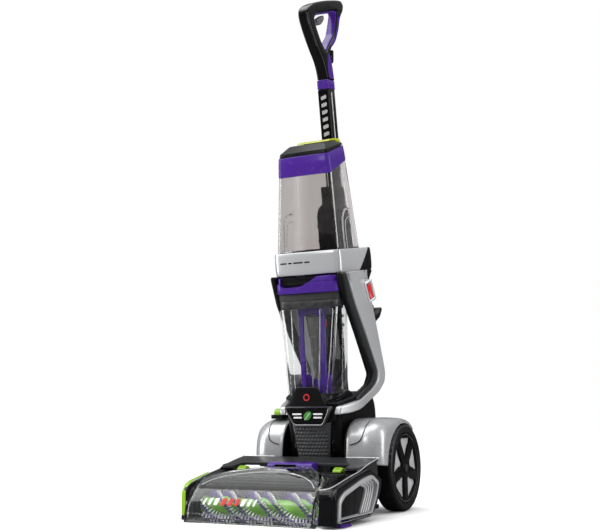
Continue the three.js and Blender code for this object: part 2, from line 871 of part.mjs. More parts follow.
// An outline whose heights are counted from the top of the stick.
function aboveStick(points) {
  return points.map(([y, z]) => [y, z + STICK_TOP]);
}

const gripOuter = aboveStick([
  [216, GRIP_LOW],
  [208, 54],
  [180, 92],
  [156, 136],
  [149, 158],
  [158, 175],
  [186, 187],
  [242, 198],
  [300, 212],
  [328, 216],
  [342, 208],
  [337, 193],
  [318, 173],
  [302, 142],
  [284, 120],
  [258, 98],
  [243, 80],
  [250, 54],
  [254, GRIP_LOW],
]);
const gripHole = aboveStick([
  [226, 80],
  [205, 102],
  [186, 136],
  [182, 154],
  [194, 164],
  [242, 175],
  [298, 187],
  [304, 176],
  [274, 125],
  [246, 102],
]);

function gripLoop() {
  const shape = rounded(gripOuter, 10);
  shape.holes.push(rounded(gripHole, 8));
  const geometry = new THREE.ExtrudeGeometry(shape, {
    depth: 2 * STICK_HALF - 4,
    bevelEnabled: true,
    bevelThickness: 3,
    bevelSize: 3,
    bevelOffset: -3,
    bevelSegments: 1,
    curveSegments: 3,
  });
  geometry.applyMatrix4(ACROSS);
  return geometry.translate(-STICK_HALF + 2, 0, 0);
}

function trigger() {
  const line = aboveStick([
    [204, 154],
    [236, 169],
    [241, 168],
    [240, 158],
    [228, 146],
    [214, 139],
    [204, 143],
  ]);
  return sidePlate(line, [-6, 6], 3);
}

function gripLiner() {
  return sidePlate(inset(gripHole, 2 * GAP), [-9, 9], 8, inset(gripHole, 2 * GAP + 3));
}

function upperHook() {
  const line = aboveStick([
    [250.5, 61],
    [250.5, 77],
    [261, 77],
    [267, 94],
    [274, 92],
    [269, 66],
    [262, 61],
  ]);
  return sidePlate(line, [-8, 8], 3);
}

function lowerHook() {
  const line = [
    [187.4, 424],
    [197.8, 386],
    [230, 396],
    [246, 412],
    [241, 418],
    [226, 405],
    [204, 402],
    [199, 426],
  ];
  return sidePlate(line, [66, 84], 2);
}

function capLatch() {
  const line = [
    [140, 779.6],
    [142, 783],
    [168, 788],
    [194, 789],
    [202, 784],
    [202, 762],
    [197, 762],
    [196.6, 782],
    [168, 783.4],
  ];
  return sidePlate(line, [-38, 38]);
}

function tankPlate() {
  const geometry = frontPlate([[-42, 240], [42, 240], [24, 277], [-24, 277]], [10, 14], 3);
  const place = geometry.getAttribute("position");
  for (let i = 0; i < place.count; i++) {
    place.setY(i, place.getY(i) + 0.139 * (place.getZ(i) - DIRTY_LOW));
  }
  return geometry;
}

function nozzleLatch() {
  const line = [
    [-87, 90],
    [-89.5, 97],
    [-85, 105],
    [-70, 107],
    [-61, 105],
    [-60.6, 96],
    [-66, 90],
  ];
  return sidePlate(line, [-52, 46], 3);
}

function releaseTab([x0, x1]) {
  const line = [
    [-98, 89.4],
    [-98, 92],
    [-89, 98],
    [-78, 96],
    [-78, 89.4],
  ];
  return sidePlate(line, [x0, x1], 1.5);
}

const PEDAL_X = [-110, -90];
const PEDAL_Y = [47, 67];
const PEDAL_TRAVEL_ROOM = 0.6;

function pedalBase() {
  const [x0, x1] = PEDAL_X;
  const [y0, y1] = PEDAL_Y;
  const room = PEDAL_TRAVEL_ROOM;
  return cut(
    box([x0 - 4, x1 + 4], [y0 - 4, y1 + 4], [190 + GAP, 198]),
    box([x0 - room, x1 + room], [y0 - room, y1 + room], [180, 200]),
  );
}

function sprayPedal() {
  const [y0, y1] = PEDAL_Y;
  const line = [
    [y0, 195],
    [y0 + 1, 206],
    [y0 + 6, 210],
    [y1 - 3, 209],
    [y1, 195],
  ];
  return sidePlate(line, PEDAL_X, 2);
}

// Flat tube from the brush hood to the neck, open at both ends.
function suctionDuct() {
  const low = [[-70, 72], [-14, 74], [12, 74]];
  const high = [[12, 100], [-14, 100], [-70, 88]];
  const ends = (y0, y1, points) => points.map(([y, z], i) => [i === y0 ? -75 : i === y1 ? 20 : y, z]);
  const lowInside = ends(0, 2, low).map(([y, z]) => [y, z + WALL]);
  const highInside = ends(2, 0, high).map(([y, z]) => [y, z - WALL]);
  const tube = sidePlate([...low, ...high], [-38, 38]);
  return cut(tube, sidePlate([...lowInside, ...highInside], [-38 + WALL, 38 - WALL]));
}

// ---------- the machine ----------

const machine = new THREE.Group();

const foot = new THREE.Group();
machine.add(foot);

node(foot, "base_chassis", chassis(), black);
node(foot, "brush_hood", brushHood(), charcoal);
node(foot, "nozzle_window", nozzleWindow(), clear);
node(foot, "belt_cover", beltCover(), black);
node(foot, "belt_cover_trim", beltCoverTrim(), silver);
node(foot, "left_end_plate", leftEndPlate(), black);
node(foot, "left_end_cover", leftEndCover(), lime);
node(foot, "foot_cover", footCover(), charcoal);
node(foot, "right_fender", fender(), silver);
node(foot, "left_fender", mirrored(fender()), silver);
const axleSpan = [-WHEEL_OUTER + 9, WHEEL_OUTER - 9];
node(foot, "wheel_axle", rodX(AXLE_RADIUS, axleSpan, AXLE_Y, WHEEL_RADIUS, 16), steel);

for (const [side, turn] of [["right", 0], ["left", Math.PI]]) {
  const wheel = new THREE.Group();
  wheel.position.set(0, AXLE_Y, WHEEL_RADIUS);
  wheel.rotation.z = turn;
  foot.add(wheel);
  node(wheel, `${side}_tyre`, tyre(), rubber);
  node(wheel, `${side}_rim`, spokedRim(), black);
}

const rearBrushY = BRUSH_FRONT_Y + BRUSH_PITCH;
const brushSpan = [CHAMBER_LEFT + GAP, CHAMBER_RIGHT - GAP];
node(foot, "front_brush", brushRoll(BRUSH_FRONT_Y, brushSpan), lime);
const driven = joined(
  brushRoll(rearBrushY, brushSpan),
  rodX(6, [CHAMBER_RIGHT - 2, DRIVE_X + 9], rearBrushY, BRUSH_HEIGHT, 16),
  rodX(PULLEY_RADIUS, [DRIVE_X, DRIVE_X + 9], rearBrushY, BRUSH_HEIGHT, 20),
);
node(foot, "rear_brush", driven, lime);
const motorPulley = joined(
  rodX(4, [CHAMBER_RIGHT - GAP, DRIVE_X + 1], MOTOR_Y, MOTOR_Z, 16),
  rodX(MOTOR_PULLEY_RADIUS, [DRIVE_X, DRIVE_X + 9], MOTOR_Y, MOTOR_Z, 20),
);
node(foot, "motor_pulley", motorPulley, steel);
node(foot, "brush_motor", rodX(MOTOR_RADIUS, [30, CHAMBER_RIGHT - 3], MOTOR_Y, MOTOR_Z, 24), steel);
node(foot, "drive_belt", driveBelt(rearBrushY), rubber);
node(foot, "suction_duct", suctionDuct(), charcoal);
node(foot, "spray_bar", rodX(4, [-110, 110], -90, 70, 12), black);
node(foot, "water_heater", box([-112, -48], [-56, -6], [FOOT_FLOOR + 12, 68]), steel);
node(foot, "water_pump", rodX(15, [-56, -8], 32, FOOT_FLOOR + 26, 20), black);
node(foot, "nozzle_latch", nozzleLatch(), purple);
node(foot, "release_tab_right", releaseTab([94, 112]), lime);
node(foot, "release_tab_left", releaseTab([-114, -96]), lime);
node(foot, "pedal_base", pedalBase(), black);
node(foot, "spray_pedal", sprayPedal(), lime);
node(foot, "edge_bristles", box([140, FOOT_HALF - 1], [-195, -155], [0.6, 4.2]), purple);

const upright = new THREE.Group();
upright.position.set(0, AXLE_Y, WHEEL_RADIUS);
upright.rotation.x = LEAN;
machine.add(upright);
const body = new THREE.Group();
body.position.set(0, -AXLE_Y, -WHEEL_RADIUS);
upright.add(body);

node(body, "rear_housing", rearHousing(), black);
node(body, "collar", collar(), silver);
node(body, "right_arm", silverArm(), silver);
node(body, "left_arm", mirrored(silverArm()), silver);
node(body, "right_arm_trim", armTrim(), charcoal);
node(body, "left_arm_trim", mirrored(armTrim()), charcoal);
node(body, "neck_grille", neckGrille(), charcoal);
node(body, "badge_panel", badgePanel(), glossBlack);
node(body, "badge_trim", badgeTrim(), chrome);

node(body, "vacuum_motor", rodX(36, [-44, 44], 165, 178, 28), steel);
const bezelHole = [ROCKER_WIDE + ROCKER_ROOM, ROCKER_LONG + ROCKER_ROOM];
const bezelFace = [ARM_OUTER + GAP, ARM_OUTER + 3];
node(body, "switch_bezel", switchTile(SWITCH_WIDE, SWITCH_LONG, bezelFace, bezelHole), charcoal);
node(body, "power_rocker", switchTile(ROCKER_WIDE, ROCKER_LONG, [ARM_OUTER - 3.5, ARM_OUTER + 4]), red);
node(body, "cord_hook_lower", lowerHook(), black);
node(body, "cord_hook_upper", upperHook(), black);
node(body, "dirty_tank_shell", dirtyTankShell(), clear);
node(body, "dirty_tank_lid", dirtyTankLid(), purple);
node(body, "tank_inner_frame", innerFrame(), purple);
node(body, "stack_tube", stackTube(), greyTube);

node(body, "float_valve", rodZ(7, [380, 416], 0, 117, 16), red);
node(body, "tank_plate", tankPlate(), glossBlack);

node(body, "clean_tank_shell", cleanTankShell(), smoke);
node(body, "clean_tank_band", cleanTankBand(), purple);
node(body, "clean_tank_cap", cleanTankCap(), charcoal);

node(body, "cap_latch", capLatch(), lime);

const stickWide = [-STICK_HALF, STICK_HALF];
const stick = box(stickWide, [STICK_FRONT, STICK_REAR], [STICK_LOW, STICK_TOP]);
node(body, "handle_stick", stick, black);
const faceDeep = [STICK_FRONT - 3, STICK_FRONT - GAP];
node(body, "stick_face", box([-11, 11], faceDeep, [792, STICK_TOP - 4]), silver);
const sleeveHigh = [STICK_TOP + GAP, STICK_TOP + GAP + SLEEVE_TALL];
const sleeve = box([-STICK_HALF - 1, STICK_HALF + 1], [STICK_FRONT - 2, STICK_REAR + 1], sleeveHigh);
node(body, "handle_sleeve", sleeve, purple);
node(body, "handle_grip", gripLoop(), glossBlack);
node(body, "grip_liner", gripLiner(), purple);
node(body, "trigger", trigger(), smoke);

export default machine;
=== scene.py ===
"""The looks of an upright carpet cleaner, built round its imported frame.

Shapes are written in millimetres and become metres when a piece is made. The upper body is
written as if it stood straight up, and is then leaned forward about its recline hinge.
"""

import json
import math
import random

import bmesh
import bpy
from mathutils import Matrix, Vector


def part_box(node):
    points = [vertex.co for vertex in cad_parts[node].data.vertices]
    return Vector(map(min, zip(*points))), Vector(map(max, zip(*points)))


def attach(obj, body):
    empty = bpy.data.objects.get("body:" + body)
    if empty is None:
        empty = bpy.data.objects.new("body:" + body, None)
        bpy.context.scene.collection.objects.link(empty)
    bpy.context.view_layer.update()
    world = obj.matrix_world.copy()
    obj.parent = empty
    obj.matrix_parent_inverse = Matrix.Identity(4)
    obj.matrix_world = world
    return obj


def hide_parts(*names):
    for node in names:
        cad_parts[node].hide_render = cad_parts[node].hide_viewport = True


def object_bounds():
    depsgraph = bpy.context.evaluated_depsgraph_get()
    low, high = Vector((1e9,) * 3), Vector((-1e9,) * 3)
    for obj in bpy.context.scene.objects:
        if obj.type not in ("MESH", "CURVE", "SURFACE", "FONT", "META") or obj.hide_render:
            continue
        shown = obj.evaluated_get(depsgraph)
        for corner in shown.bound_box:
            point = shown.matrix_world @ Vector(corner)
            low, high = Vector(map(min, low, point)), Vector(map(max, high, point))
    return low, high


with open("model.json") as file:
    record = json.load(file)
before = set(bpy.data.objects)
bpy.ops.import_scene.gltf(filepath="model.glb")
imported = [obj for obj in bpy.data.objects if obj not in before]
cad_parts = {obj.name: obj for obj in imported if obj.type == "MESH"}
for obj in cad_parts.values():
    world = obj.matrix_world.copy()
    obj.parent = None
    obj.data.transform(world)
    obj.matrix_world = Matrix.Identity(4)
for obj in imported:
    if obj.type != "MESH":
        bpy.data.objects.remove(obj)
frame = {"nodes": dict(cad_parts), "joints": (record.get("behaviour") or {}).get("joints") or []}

cad_low, cad_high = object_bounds()
random.seed(7)

MM = 0.001
WELD = 0.002  # millimetres

# ---------- places taken from the frame ----------

joints = {joint["name"]: joint for joint in frame["joints"]}
LEAN = math.radians(10)
hinge = Vector(joints["recline"]["pos_m"])
LEANED = Matrix.Translation(hinge) @ Matrix.Rotation(LEAN, 4, "X") @ Matrix.Translation(-hinge)
LEANING = {"upper_body", "rocker", "trigger_body", "cord_hook", "dirty_tank", "float_body"}
LEANING |= {"clean_tank", "tank_latch"}

AXLE_Y, AXLE_Z = (value / MM for value in joints["right_wheel_spin"]["pos_m"][1:])
BRUSH_Z = joints["front_brush_spin"]["pos_m"][2] / MM
FOOT_HALF = cad_high.x / MM
FOOT_FRONT = cad_low.y / MM


# ---------- stage ----------

def product_camera():
    """A low camera to the front and right of the machine, looking slightly up."""
    azimuth, yaw, tilt, roll = (math.radians(a) for a in (26.51, 27.06, 8.58, -0.29))
    away, height = 2.0136, 0.198
    data = bpy.data.cameras.new("product_camera")
    data.sensor_width = 36
    data.lens = 58.99
    camera = bpy.data.objects.new("product_camera", data)
    place = Matrix.Translation((away * math.sin(azimuth), -away * math.cos(azimuth), height))
    turn = Matrix.Rotation(yaw, 4, "Z") @ Matrix.Rotation(math.pi / 2 + tilt, 4, "X")
    camera.matrix_world = place @ turn @ Matrix.Rotation(roll, 4, "Z")
    bpy.context.scene.collection.objects.link(camera)
    bpy.context.scene.camera = camera


def softbox(name, place, target, size, power):
    """A rectangular lamp at a place, turned to a target."""
    data = bpy.data.lights.new(name, "AREA")
    data.shape = "RECTANGLE"
    data.size, data.size_y = size
    data.energy = power
    lamp = bpy.data.objects.new(name, data)
    lamp.location = place
    lamp.rotation_euler = (Vector(target) - Vector(place)).to_track_quat("-Z", "Y").to_euler()
    bpy.context.scene.collection.objects.link(lamp)


def sky(tree, up, stops):
    """A background shade that changes with height, from straight down to straight up."""
    ramp = add(tree, "ShaderNodeValToRGB", {0: up})
    ramp.color_ramp.elements[0].position = stops[0][0]
    ramp.color_ramp.elements[1].position = stops[-1][0]
    for place, _ in stops[1:-1]:
        ramp.color_ramp.elements.new(place)
    for element, (place, shade) in zip(ramp.color_ramp.elements, stops):
        element.color = (shade, shade, shade * 1.01, 1)
    return add(tree, "ShaderNodeBackground", {"Color": ramp.outputs[0]}).outputs[0]


def studio():
    """White surroundings and an even key light, with dark reflections cut by tall softboxes."""
    softbox("left_softbox", (-1.7, -0.8, 0.9), (0, 0, 0.5), (0.5, 2.0), 20)
    softbox("right_softbox", (2.0, 0.5, 0.9), (0, 0.05, 0.5), (0.8, 2.0), 17)
    softbox("front_softbox", (-0.3, -2.6, 1.6), (0, 0, 0.4), (0.8, 0.8), 9)
    softbox("top_softbox", (0, 0.1, 2.6), (0, 0, 0), (1.8, 1.8), 22)
    key = bpy.data.lights.new("key", "SUN")
    key.energy = 1.5
    key.angle = math.radians(50)
    lamp = bpy.data.objects.new("key", key)
    lamp.rotation_euler = (math.radians(18), math.radians(-22), 0)
    bpy.context.scene.collection.objects.link(lamp)
    world = bpy.data.worlds.new("white_studio")
    world.use_nodes = True
    tree = world.node_tree
    tree.nodes.clear()
    around = add(tree, "ShaderNodeTexCoord")
    split = add(tree, "ShaderNodeSeparateXYZ", {0: around.outputs["Generated"]})
    up = add(tree, "ShaderNodeMapRange", {0: split.outputs["Z"], 1: -1, 2: 1}).outputs[0]
    white = add(tree, "ShaderNodeBackground", {"Color": (1, 1, 1, 1)}).outputs[0]
    even = sky(tree, up, [(0.3, 0.55), (0.55, 0.62), (1.0, 0.95)])
    glints = sky(tree, up, [(0.40, 0.10), (0.50, 0.05), (0.66, 0.12), (0.86, 0.50), (1.0, 0.75)])
    rays = add(tree, "ShaderNodeLightPath").outputs
    mirrored_or_not = add(tree, "ShaderNodeMixShader", {0: rays["Is Glossy Ray"]})
    tree.links.new(even, mirrored_or_not.inputs[1])
    tree.links.new(glints, mirrored_or_not.inputs[2])
    seen = {0: rays["Is Camera Ray"], 1: rays["Is Transmission Ray"]}
    straight = add(tree, "ShaderNodeMath", seen, operation="MAXIMUM")
    mix = add(tree, "ShaderNodeMixShader", {0: straight.outputs[0]})
    tree.links.new(mirrored_or_not.outputs[0], mix.inputs[1])
    tree.links.new(white, mix.inputs[2])
    output = add(tree, "ShaderNodeOutputWorld")
    tree.links.new(mix.outputs[0], output.inputs["Surface"])
    bpy.context.scene.world = world
    bpy.context.scene.view_settings.view_transform = "Standard"


def pale_floor():
    """A wide pale floor that looks dark in reflections, so that black mouldings stay black."""
    made = bmesh.new()
    bmesh.ops.create_circle(made, cap_ends=True, radius=9, segments=96)
    mesh = bpy.data.meshes.new("pale_floor")
    made.to_mesh(mesh)
    floor = bpy.data.objects.new("pale_floor", mesh)
    floor.location.z = -0.0003
    bpy.context.scene.collection.objects.link(floor)
    paint = bpy.data.materials.new("pale_floor")
    paint.use_nodes = True
    tree = paint.node_tree
    surface = tree.nodes["Principled BSDF"]
    speck = add(tree, "ShaderNodeTexNoise", {"Scale": 3.0})
    tint = add(tree, "ShaderNodeValToRGB", {0: speck.outputs[0]})
    tint.color_ramp.elements[0].color = (0.93, 0.93, 0.93, 1)
    tint.color_ramp.elements[1].color = (0.96, 0.96, 0.96, 1)
    ray = add(tree, "ShaderNodeLightPath").outputs["Is Glossy Ray"]
    tree.links.new(blended(tree, ray, tint.outputs[0], (0.08, 0.08, 0.08)), surface.inputs["Base Color"])
    surface.inputs["Roughness"].default_value = 0.7
    surface.inputs["Specular IOR Level"].default_value = 0.1
    mesh.materials.append(paint)


# ---------- material building ----------

def add(tree, kind, inputs=None, **settings):
    """A shader node with its settings, and its inputs set or linked."""
    made = tree.nodes.new(kind)
    for key, value in settings.items():
        setattr(made, key, value)
    for key, value in (inputs or {}).items():
        if isinstance(value, bpy.types.NodeSocket):
            tree.links.new(value, made.inputs[key])
        else:
            made.inputs[key].default_value = value
    return made


def new_group(name, inputs, outputs):
    """A shader group with its number sockets, and the sockets to build between."""
    group = bpy.data.node_groups.new(name, "ShaderNodeTree")
    for label, value in inputs:
        socket = group.interface.new_socket(label, in_out="INPUT", socket_type="NodeSocketFloat")
        socket.default_value = value
    for label in outputs:
        group.interface.new_socket(label, in_out="OUTPUT", socket_type="NodeSocketFloat")
    return group, group.nodes.new("NodeGroupInput").outputs, group.nodes.new("NodeGroupOutput").inputs


def moulded_grain():
    """Fine spark-eroded texture, and a slow drift of tone across a moulding."""
    group, given, out = new_group(
        "moulded_grain", [("Scale", 1800.0), ("Tone Scale", 24.0)], ["Height", "Tone"]
    )
    place = add(group, "ShaderNodeTexCoord").outputs["Object"]
    fine = add(group, "ShaderNodeTexNoise", {"Vector": place, "Scale": given["Scale"], "Detail": 3.0})
    slow = add(group, "ShaderNodeTexNoise", {"Vector": place, "Scale": given["Tone Scale"], "Detail": 4.0})
    group.links.new(fine.outputs[0], out["Height"])
    group.links.new(slow.outputs[0], out["Tone"])
    return group


def edge_wear():
    """Where a moulding's edges are rubbed, broken up by noise."""
    group, given, out = new_group("edge_wear", [("Amount", 0.5), ("Scale", 90.0)], ["Mask"])
    bent = add(group, "ShaderNodeNewGeometry").outputs["Pointiness"]
    edge = add(group, "ShaderNodeMapRange", {0: bent, 1: 0.52, 2: 0.62})
    place = add(group, "ShaderNodeTexCoord").outputs["Object"]
    patch = add(group, "ShaderNodeTexNoise", {"Vector": place, "Scale": given["Scale"], "Detail": 5.0})
    broken = add(group, "ShaderNodeMapRange", {0: patch.outputs[0], 1: 0.42, 2: 0.66})
    both = add(group, "ShaderNodeMath", {0: edge.outputs[0], 1: broken.outputs[0]}, operation="MULTIPLY")
    scaled = add(group, "ShaderNodeMath", {0: both.outputs[0], 1: given["Amount"]}, operation="MULTIPLY")
    group.links.new(scaled.outputs[0], out["Mask"])
    return group


def fine_scuffs():
    """Hairline handling marks, long in one direction."""
    group, given, out = new_group("fine_scuffs", [("Scale", 60.0), ("Amount", 0.3)], ["Mask"])
    place = add(group, "ShaderNodeTexCoord").outputs["Object"]
    drawn_out = {"Vector": place, "Scale": (1, 9, 0.6), "Rotation": (0.5, 0.3, 0.2)}
    long = add(group, "ShaderNodeMapping", drawn_out).outputs[0]
    lines = add(group, "ShaderNodeTexNoise", {"Vector": long, "Scale": given["Scale"], "Detail": 8.0})
    narrow = add(group, "ShaderNodeMapRange", {0: lines.outputs[0], 1: 0.56, 2: 0.72})
    scaled = add(group, "ShaderNodeMath", {0: narrow.outputs[0], 1: given["Amount"]}, operation="MULTIPLY")
    group.links.new(scaled.outputs[0], out["Mask"])
    return group


def soft_dust():
    """Dust that lies on what faces up."""
    group, given, out = new_group("soft_dust", [("Amount", 0.2)], ["Mask"])
    normal = add(group, "ShaderNodeNewGeometry").outputs["Normal"]
    up = add(group, "ShaderNodeSeparateXYZ", {0: normal}).outputs["Z"]
    lying = add(group, "ShaderNodeMapRange", {0: up, 1: 0.3, 2: 1.0})
    place = add(group, "ShaderNodeTexCoord").outputs["Object"]
    patch = add(group, "ShaderNodeTexNoise", {"Vector": place, "Scale": 35.0, "Detail": 6.0})
    both = add(group, "ShaderNodeMath", {0: lying.outputs[0], 1: patch.outputs[0]}, operation="MULTIPLY")
    scaled = add(group, "ShaderNodeMath", {0: both.outputs[0], 1: given["Amount"]}, operation="MULTIPLY")
    group.links.new(scaled.outputs[0], out["Mask"])
    return group


def metal_flake():
    """The sparkle of flakes in a metallic paint."""
    group, given, out = new_group("metal_flake", [("Scale", 3200.0)], ["Tone", "Height"])
    place = add(group, "ShaderNodeTexCoord").outputs["Object"]
    cells = add(group, "ShaderNodeTexVoronoi", {"Vector": place, "Scale": given["Scale"]})
    shade = add(group, "ShaderNodeSeparateColor", {0: cells.outputs["Color"]})
    group.links.new(shade.outputs[0], out["Tone"])
    group.links.new(cells.outputs["Distance"], out["Height"])
    return group


def strand_tone():
    """Each strand of a brush a little lighter or darker."""
    group, given, out = new_group("strand_tone", [("Spread", 0.5)], ["Tone"])
    strand = add(group, "ShaderNodeNewGeometry").outputs["Random Per Island"]
    scaled = add(group, "ShaderNodeMath", {0: strand, 1: given["Spread"]}, operation="MULTIPLY")
    group.links.new(scaled.outputs[0], out["Tone"])
    return group


def front_walls():
    """The walls of a moulding that face the front or the rear."""
    group, given, out = new_group("front_walls", [("Sharpness", 3.0)], ["Mask"])
    normal = add(group, "ShaderNodeNewGeometry").outputs["Normal"]
    forward = add(group, "ShaderNodeSeparateXYZ", {0: normal}).outputs["Y"]
    size = add(group, "ShaderNodeMath", {0: forward}, operation="ABSOLUTE")
    sharp = add(group, "ShaderNodeMath", {0: size.outputs[0], 1: given["Sharpness"]}, operation="POWER")
    group.links.new(sharp.outputs[0], out["Mask"])
    return group


GROUPS = {}


def effect(tree, maker, inputs=None):
    """Places a shared shader group, which is built the first time it is used."""
    if maker.__name__ not in GROUPS:
        GROUPS[maker.__name__] = maker()
    node = add(tree, "ShaderNodeGroup", node_tree=GROUPS[maker.__name__])
    for key, value in (inputs or {}).items():
        node.inputs[key].default_value = value
    return node.outputs


def blended(tree, share, first, second):
    """A colour between two, by a share that is a socket or a number."""
    mix = add(tree, "ShaderNodeMix", data_type="RGBA")
    for socket, value in ((mix.inputs[0], share), (mix.inputs[6], first), (mix.inputs[7], second)):
        if isinstance(value, bpy.types.NodeSocket):
            tree.links.new(value, socket)
        else:
            socket.default_value = value if isinstance(value, float) else (*value, 1)
    return mix.outputs[2]


def ranged(tree, value, low, high):
    """A value from 0 to 1 spread between two others."""
    return add(tree, "ShaderNodeMapRange", {0: value, 3: low, 4: high}).outputs[0]


def started(name):
    """A new material for one of the record's slots, with its nodes and its shader."""
    material = bpy.data.materials.new(name)
    material.use_nodes = True
    return material, material.node_tree, material.node_tree.nodes["Principled BSDF"]


def plastic(name, colour, rough, coat=0.0, grain=0.25, scale=1800.0, wear=0.25, dust=0.05, scuff=0.2,
            specular=0.5):
    """A moulded plastic: grain, rubbed edges, faint dust and handling marks."""
    material, tree, surface = started(name)
    moulding = effect(tree, moulded_grain, {"Scale": scale})
    worn = effect(tree, edge_wear, {"Amount": wear})["Mask"]
    dusty = effect(tree, soft_dust, {"Amount": dust})["Mask"]
    marks = effect(tree, fine_scuffs, {"Amount": scuff})["Mask"]
    darker = [value * 0.82 for value in colour]
    lighter = [value + (0.62 - value) * 0.35 for value in colour]
    toned = blended(tree, moulding["Tone"], darker, colour)
    rubbed = blended(tree, worn, toned, lighter)
    dusted = blended(tree, dusty, rubbed, (0.20, 0.195, 0.185))
    tree.links.new(dusted, surface.inputs["Base Color"])
    base = ranged(tree, moulding["Tone"], rough * 0.85, rough * 1.15)
    scuffed = add(tree, "ShaderNodeMath", {0: base, 1: marks}, operation="ADD", use_clamp=True)
    tree.links.new(scuffed.outputs[0], surface.inputs["Roughness"])
    bump = add(tree, "ShaderNodeBump", {"Strength": grain, "Distance": 0.0003, "Height": moulding["Height"]})
    tree.links.new(bump.outputs[0], surface.inputs["Normal"])
    surface.inputs["Coat Weight"].default_value = coat
    surface.inputs["Coat Roughness"].default_value = 0.06
    surface.inputs["Specular IOR Level"].default_value = specular
    return material


def paint(name, slot, colour, rough, metal, coat):
    """A metallic paint: flakes under a clear coat, slightly uneven."""
    material, tree, surface = started(name)
    flakes = effect(tree, metal_flake)
    moulding = effect(tree, moulded_grain, {"Tone Scale": 14.0})
    worn = effect(tree, edge_wear, {"Amount": 0.3})["Mask"]
    dusty = effect(tree, soft_dust, {"Amount": 0.08})["Mask"]
    darker = [value * 0.95 for value in colour]
    sparkle = blended(tree, flakes["Tone"], darker, colour)
    patches = ranged(tree, moulding["Tone"], 0.0, 0.35)
    drift = blended(tree, patches, sparkle, [value * 0.86 for value in colour])
    rubbed = blended(tree, worn, drift, (0.80, 0.80, 0.81))
    tree.links.new(blended(tree, dusty, rubbed, (0.5, 0.49, 0.47)), surface.inputs["Base Color"])
    tree.links.new(ranged(tree, moulding["Tone"], rough * 0.8, rough * 1.2), surface.inputs["Roughness"])
    bump = add(tree, "ShaderNodeBump", {"Strength": 0.02, "Distance": 0.0002, "Height": flakes["Height"]})
    tree.links.new(bump.outputs[0], surface.inputs["Normal"])
    surface.inputs["Metallic"].default_value = metal
    surface.inputs["Coat Weight"].default_value = coat
    surface.inputs["Coat Roughness"].default_value = 0.08
    return material


def bare_metal(name, colour, rough):
    """A metal with a drawn, slightly uneven surface."""
    material, tree, surface = started(name)
    marks = effect(tree, fine_scuffs, {"Amount": 0.25, "Scale": 120.0})["Mask"]
    tone = effect(tree, moulded_grain)["Tone"]
    darker = [value * 0.85 for value in colour]
    tree.links.new(blended(tree, tone, darker, colour), surface.inputs["Base Color"])
    base = ranged(tree, tone, rough * 0.8, rough * 1.3)
    total = add(tree, "ShaderNodeMath", {0: base, 1: marks}, operation="ADD", use_clamp=True)
    tree.links.new(total.outputs[0], surface.inputs["Roughness"])
    surface.inputs["Metallic"].default_value = 1.0
    return material


def see_through(name, tint, rough, ior, shadow, wave=0.08, front=None):
    """A clear moulding, slightly wavy, which lets the lamps reach what is behind it.

    Its front and rear walls can have a deeper tint than its sides.
    """
    material, tree, surface = started(name)
    moulding = effect(tree, moulded_grain, {"Scale": 60.0, "Tone Scale": 18.0})
    marks = effect(tree, fine_scuffs, {"Amount": 0.12, "Scale": 45.0})["Mask"]
    darker = [value * 0.97 for value in tint]
    toned = blended(tree, moulding["Tone"], darker, tint)
    if front:
        toned = blended(tree, effect(tree, front_walls)["Mask"], toned, front)
    tree.links.new(toned, surface.inputs["Base Color"])
    smudged = add(tree, "ShaderNodeMath", {0: marks, 1: rough}, operation="ADD", use_clamp=True)
    tree.links.new(smudged.outputs[0], surface.inputs["Roughness"])
    bump = add(tree, "ShaderNodeBump", {"Strength": wave, "Distance": 0.001, "Height": moulding["Height"]})
    tree.links.new(bump.outputs[0], surface.inputs["Normal"])
    surface.inputs["Transmission Weight"].default_value = 1.0
    surface.inputs["IOR"].default_value = ior
    passing = add(tree, "ShaderNodeBsdfTransparent", {"Color": (*shadow, 1)})
    rays = add(tree, "ShaderNodeLightPath")
    mix = add(tree, "ShaderNodeMixShader", {0: rays.outputs["Is Shadow Ray"]})
    tree.links.new(surface.outputs[0], mix.inputs[1])
    tree.links.new(passing.outputs[0], mix.inputs[2])
    tree.links.new(mix.outputs[0], tree.nodes["Material Output"].inputs["Surface"])
    return material


def strands(name, colour):
    """Nylon bristle: every strand its own tone."""
    material, tree, surface = started(name)
    tone = effect(tree, strand_tone, {"Spread": 1.0})["Tone"]
    darker = [value * 0.55 for value in colour]
    tree.links.new(blended(tree, tone, darker, colour), surface.inputs["Base Color"])
    tree.links.new(ranged(tree, tone, 0.3, 0.5), surface.inputs["Roughness"])
    return material


def rubber(name, colour, rough):
    """Matt rubber with scuffed, dusty high spots."""
    material, tree, surface = started(name)
    moulding = effect(tree, moulded_grain, {"Scale": 900.0})
    worn = effect(tree, edge_wear, {"Amount": 0.7, "Scale": 60.0})["Mask"]
    toned = blended(tree, moulding["Tone"], [value * 0.7 for value in colour], colour)
    tree.links.new(blended(tree, worn, toned, (0.022, 0.0215, 0.021)), surface.inputs["Base Color"])
    tree.links.new(ranged(tree, moulding["Tone"], rough * 0.85, rough), surface.inputs["Roughness"])
    bump = add(tree, "ShaderNodeBump", {"Strength": 0.4, "Distance": 0.0004, "Height": moulding["Height"]})
    tree.links.new(bump.outputs[0], surface.inputs["Normal"])
    return material


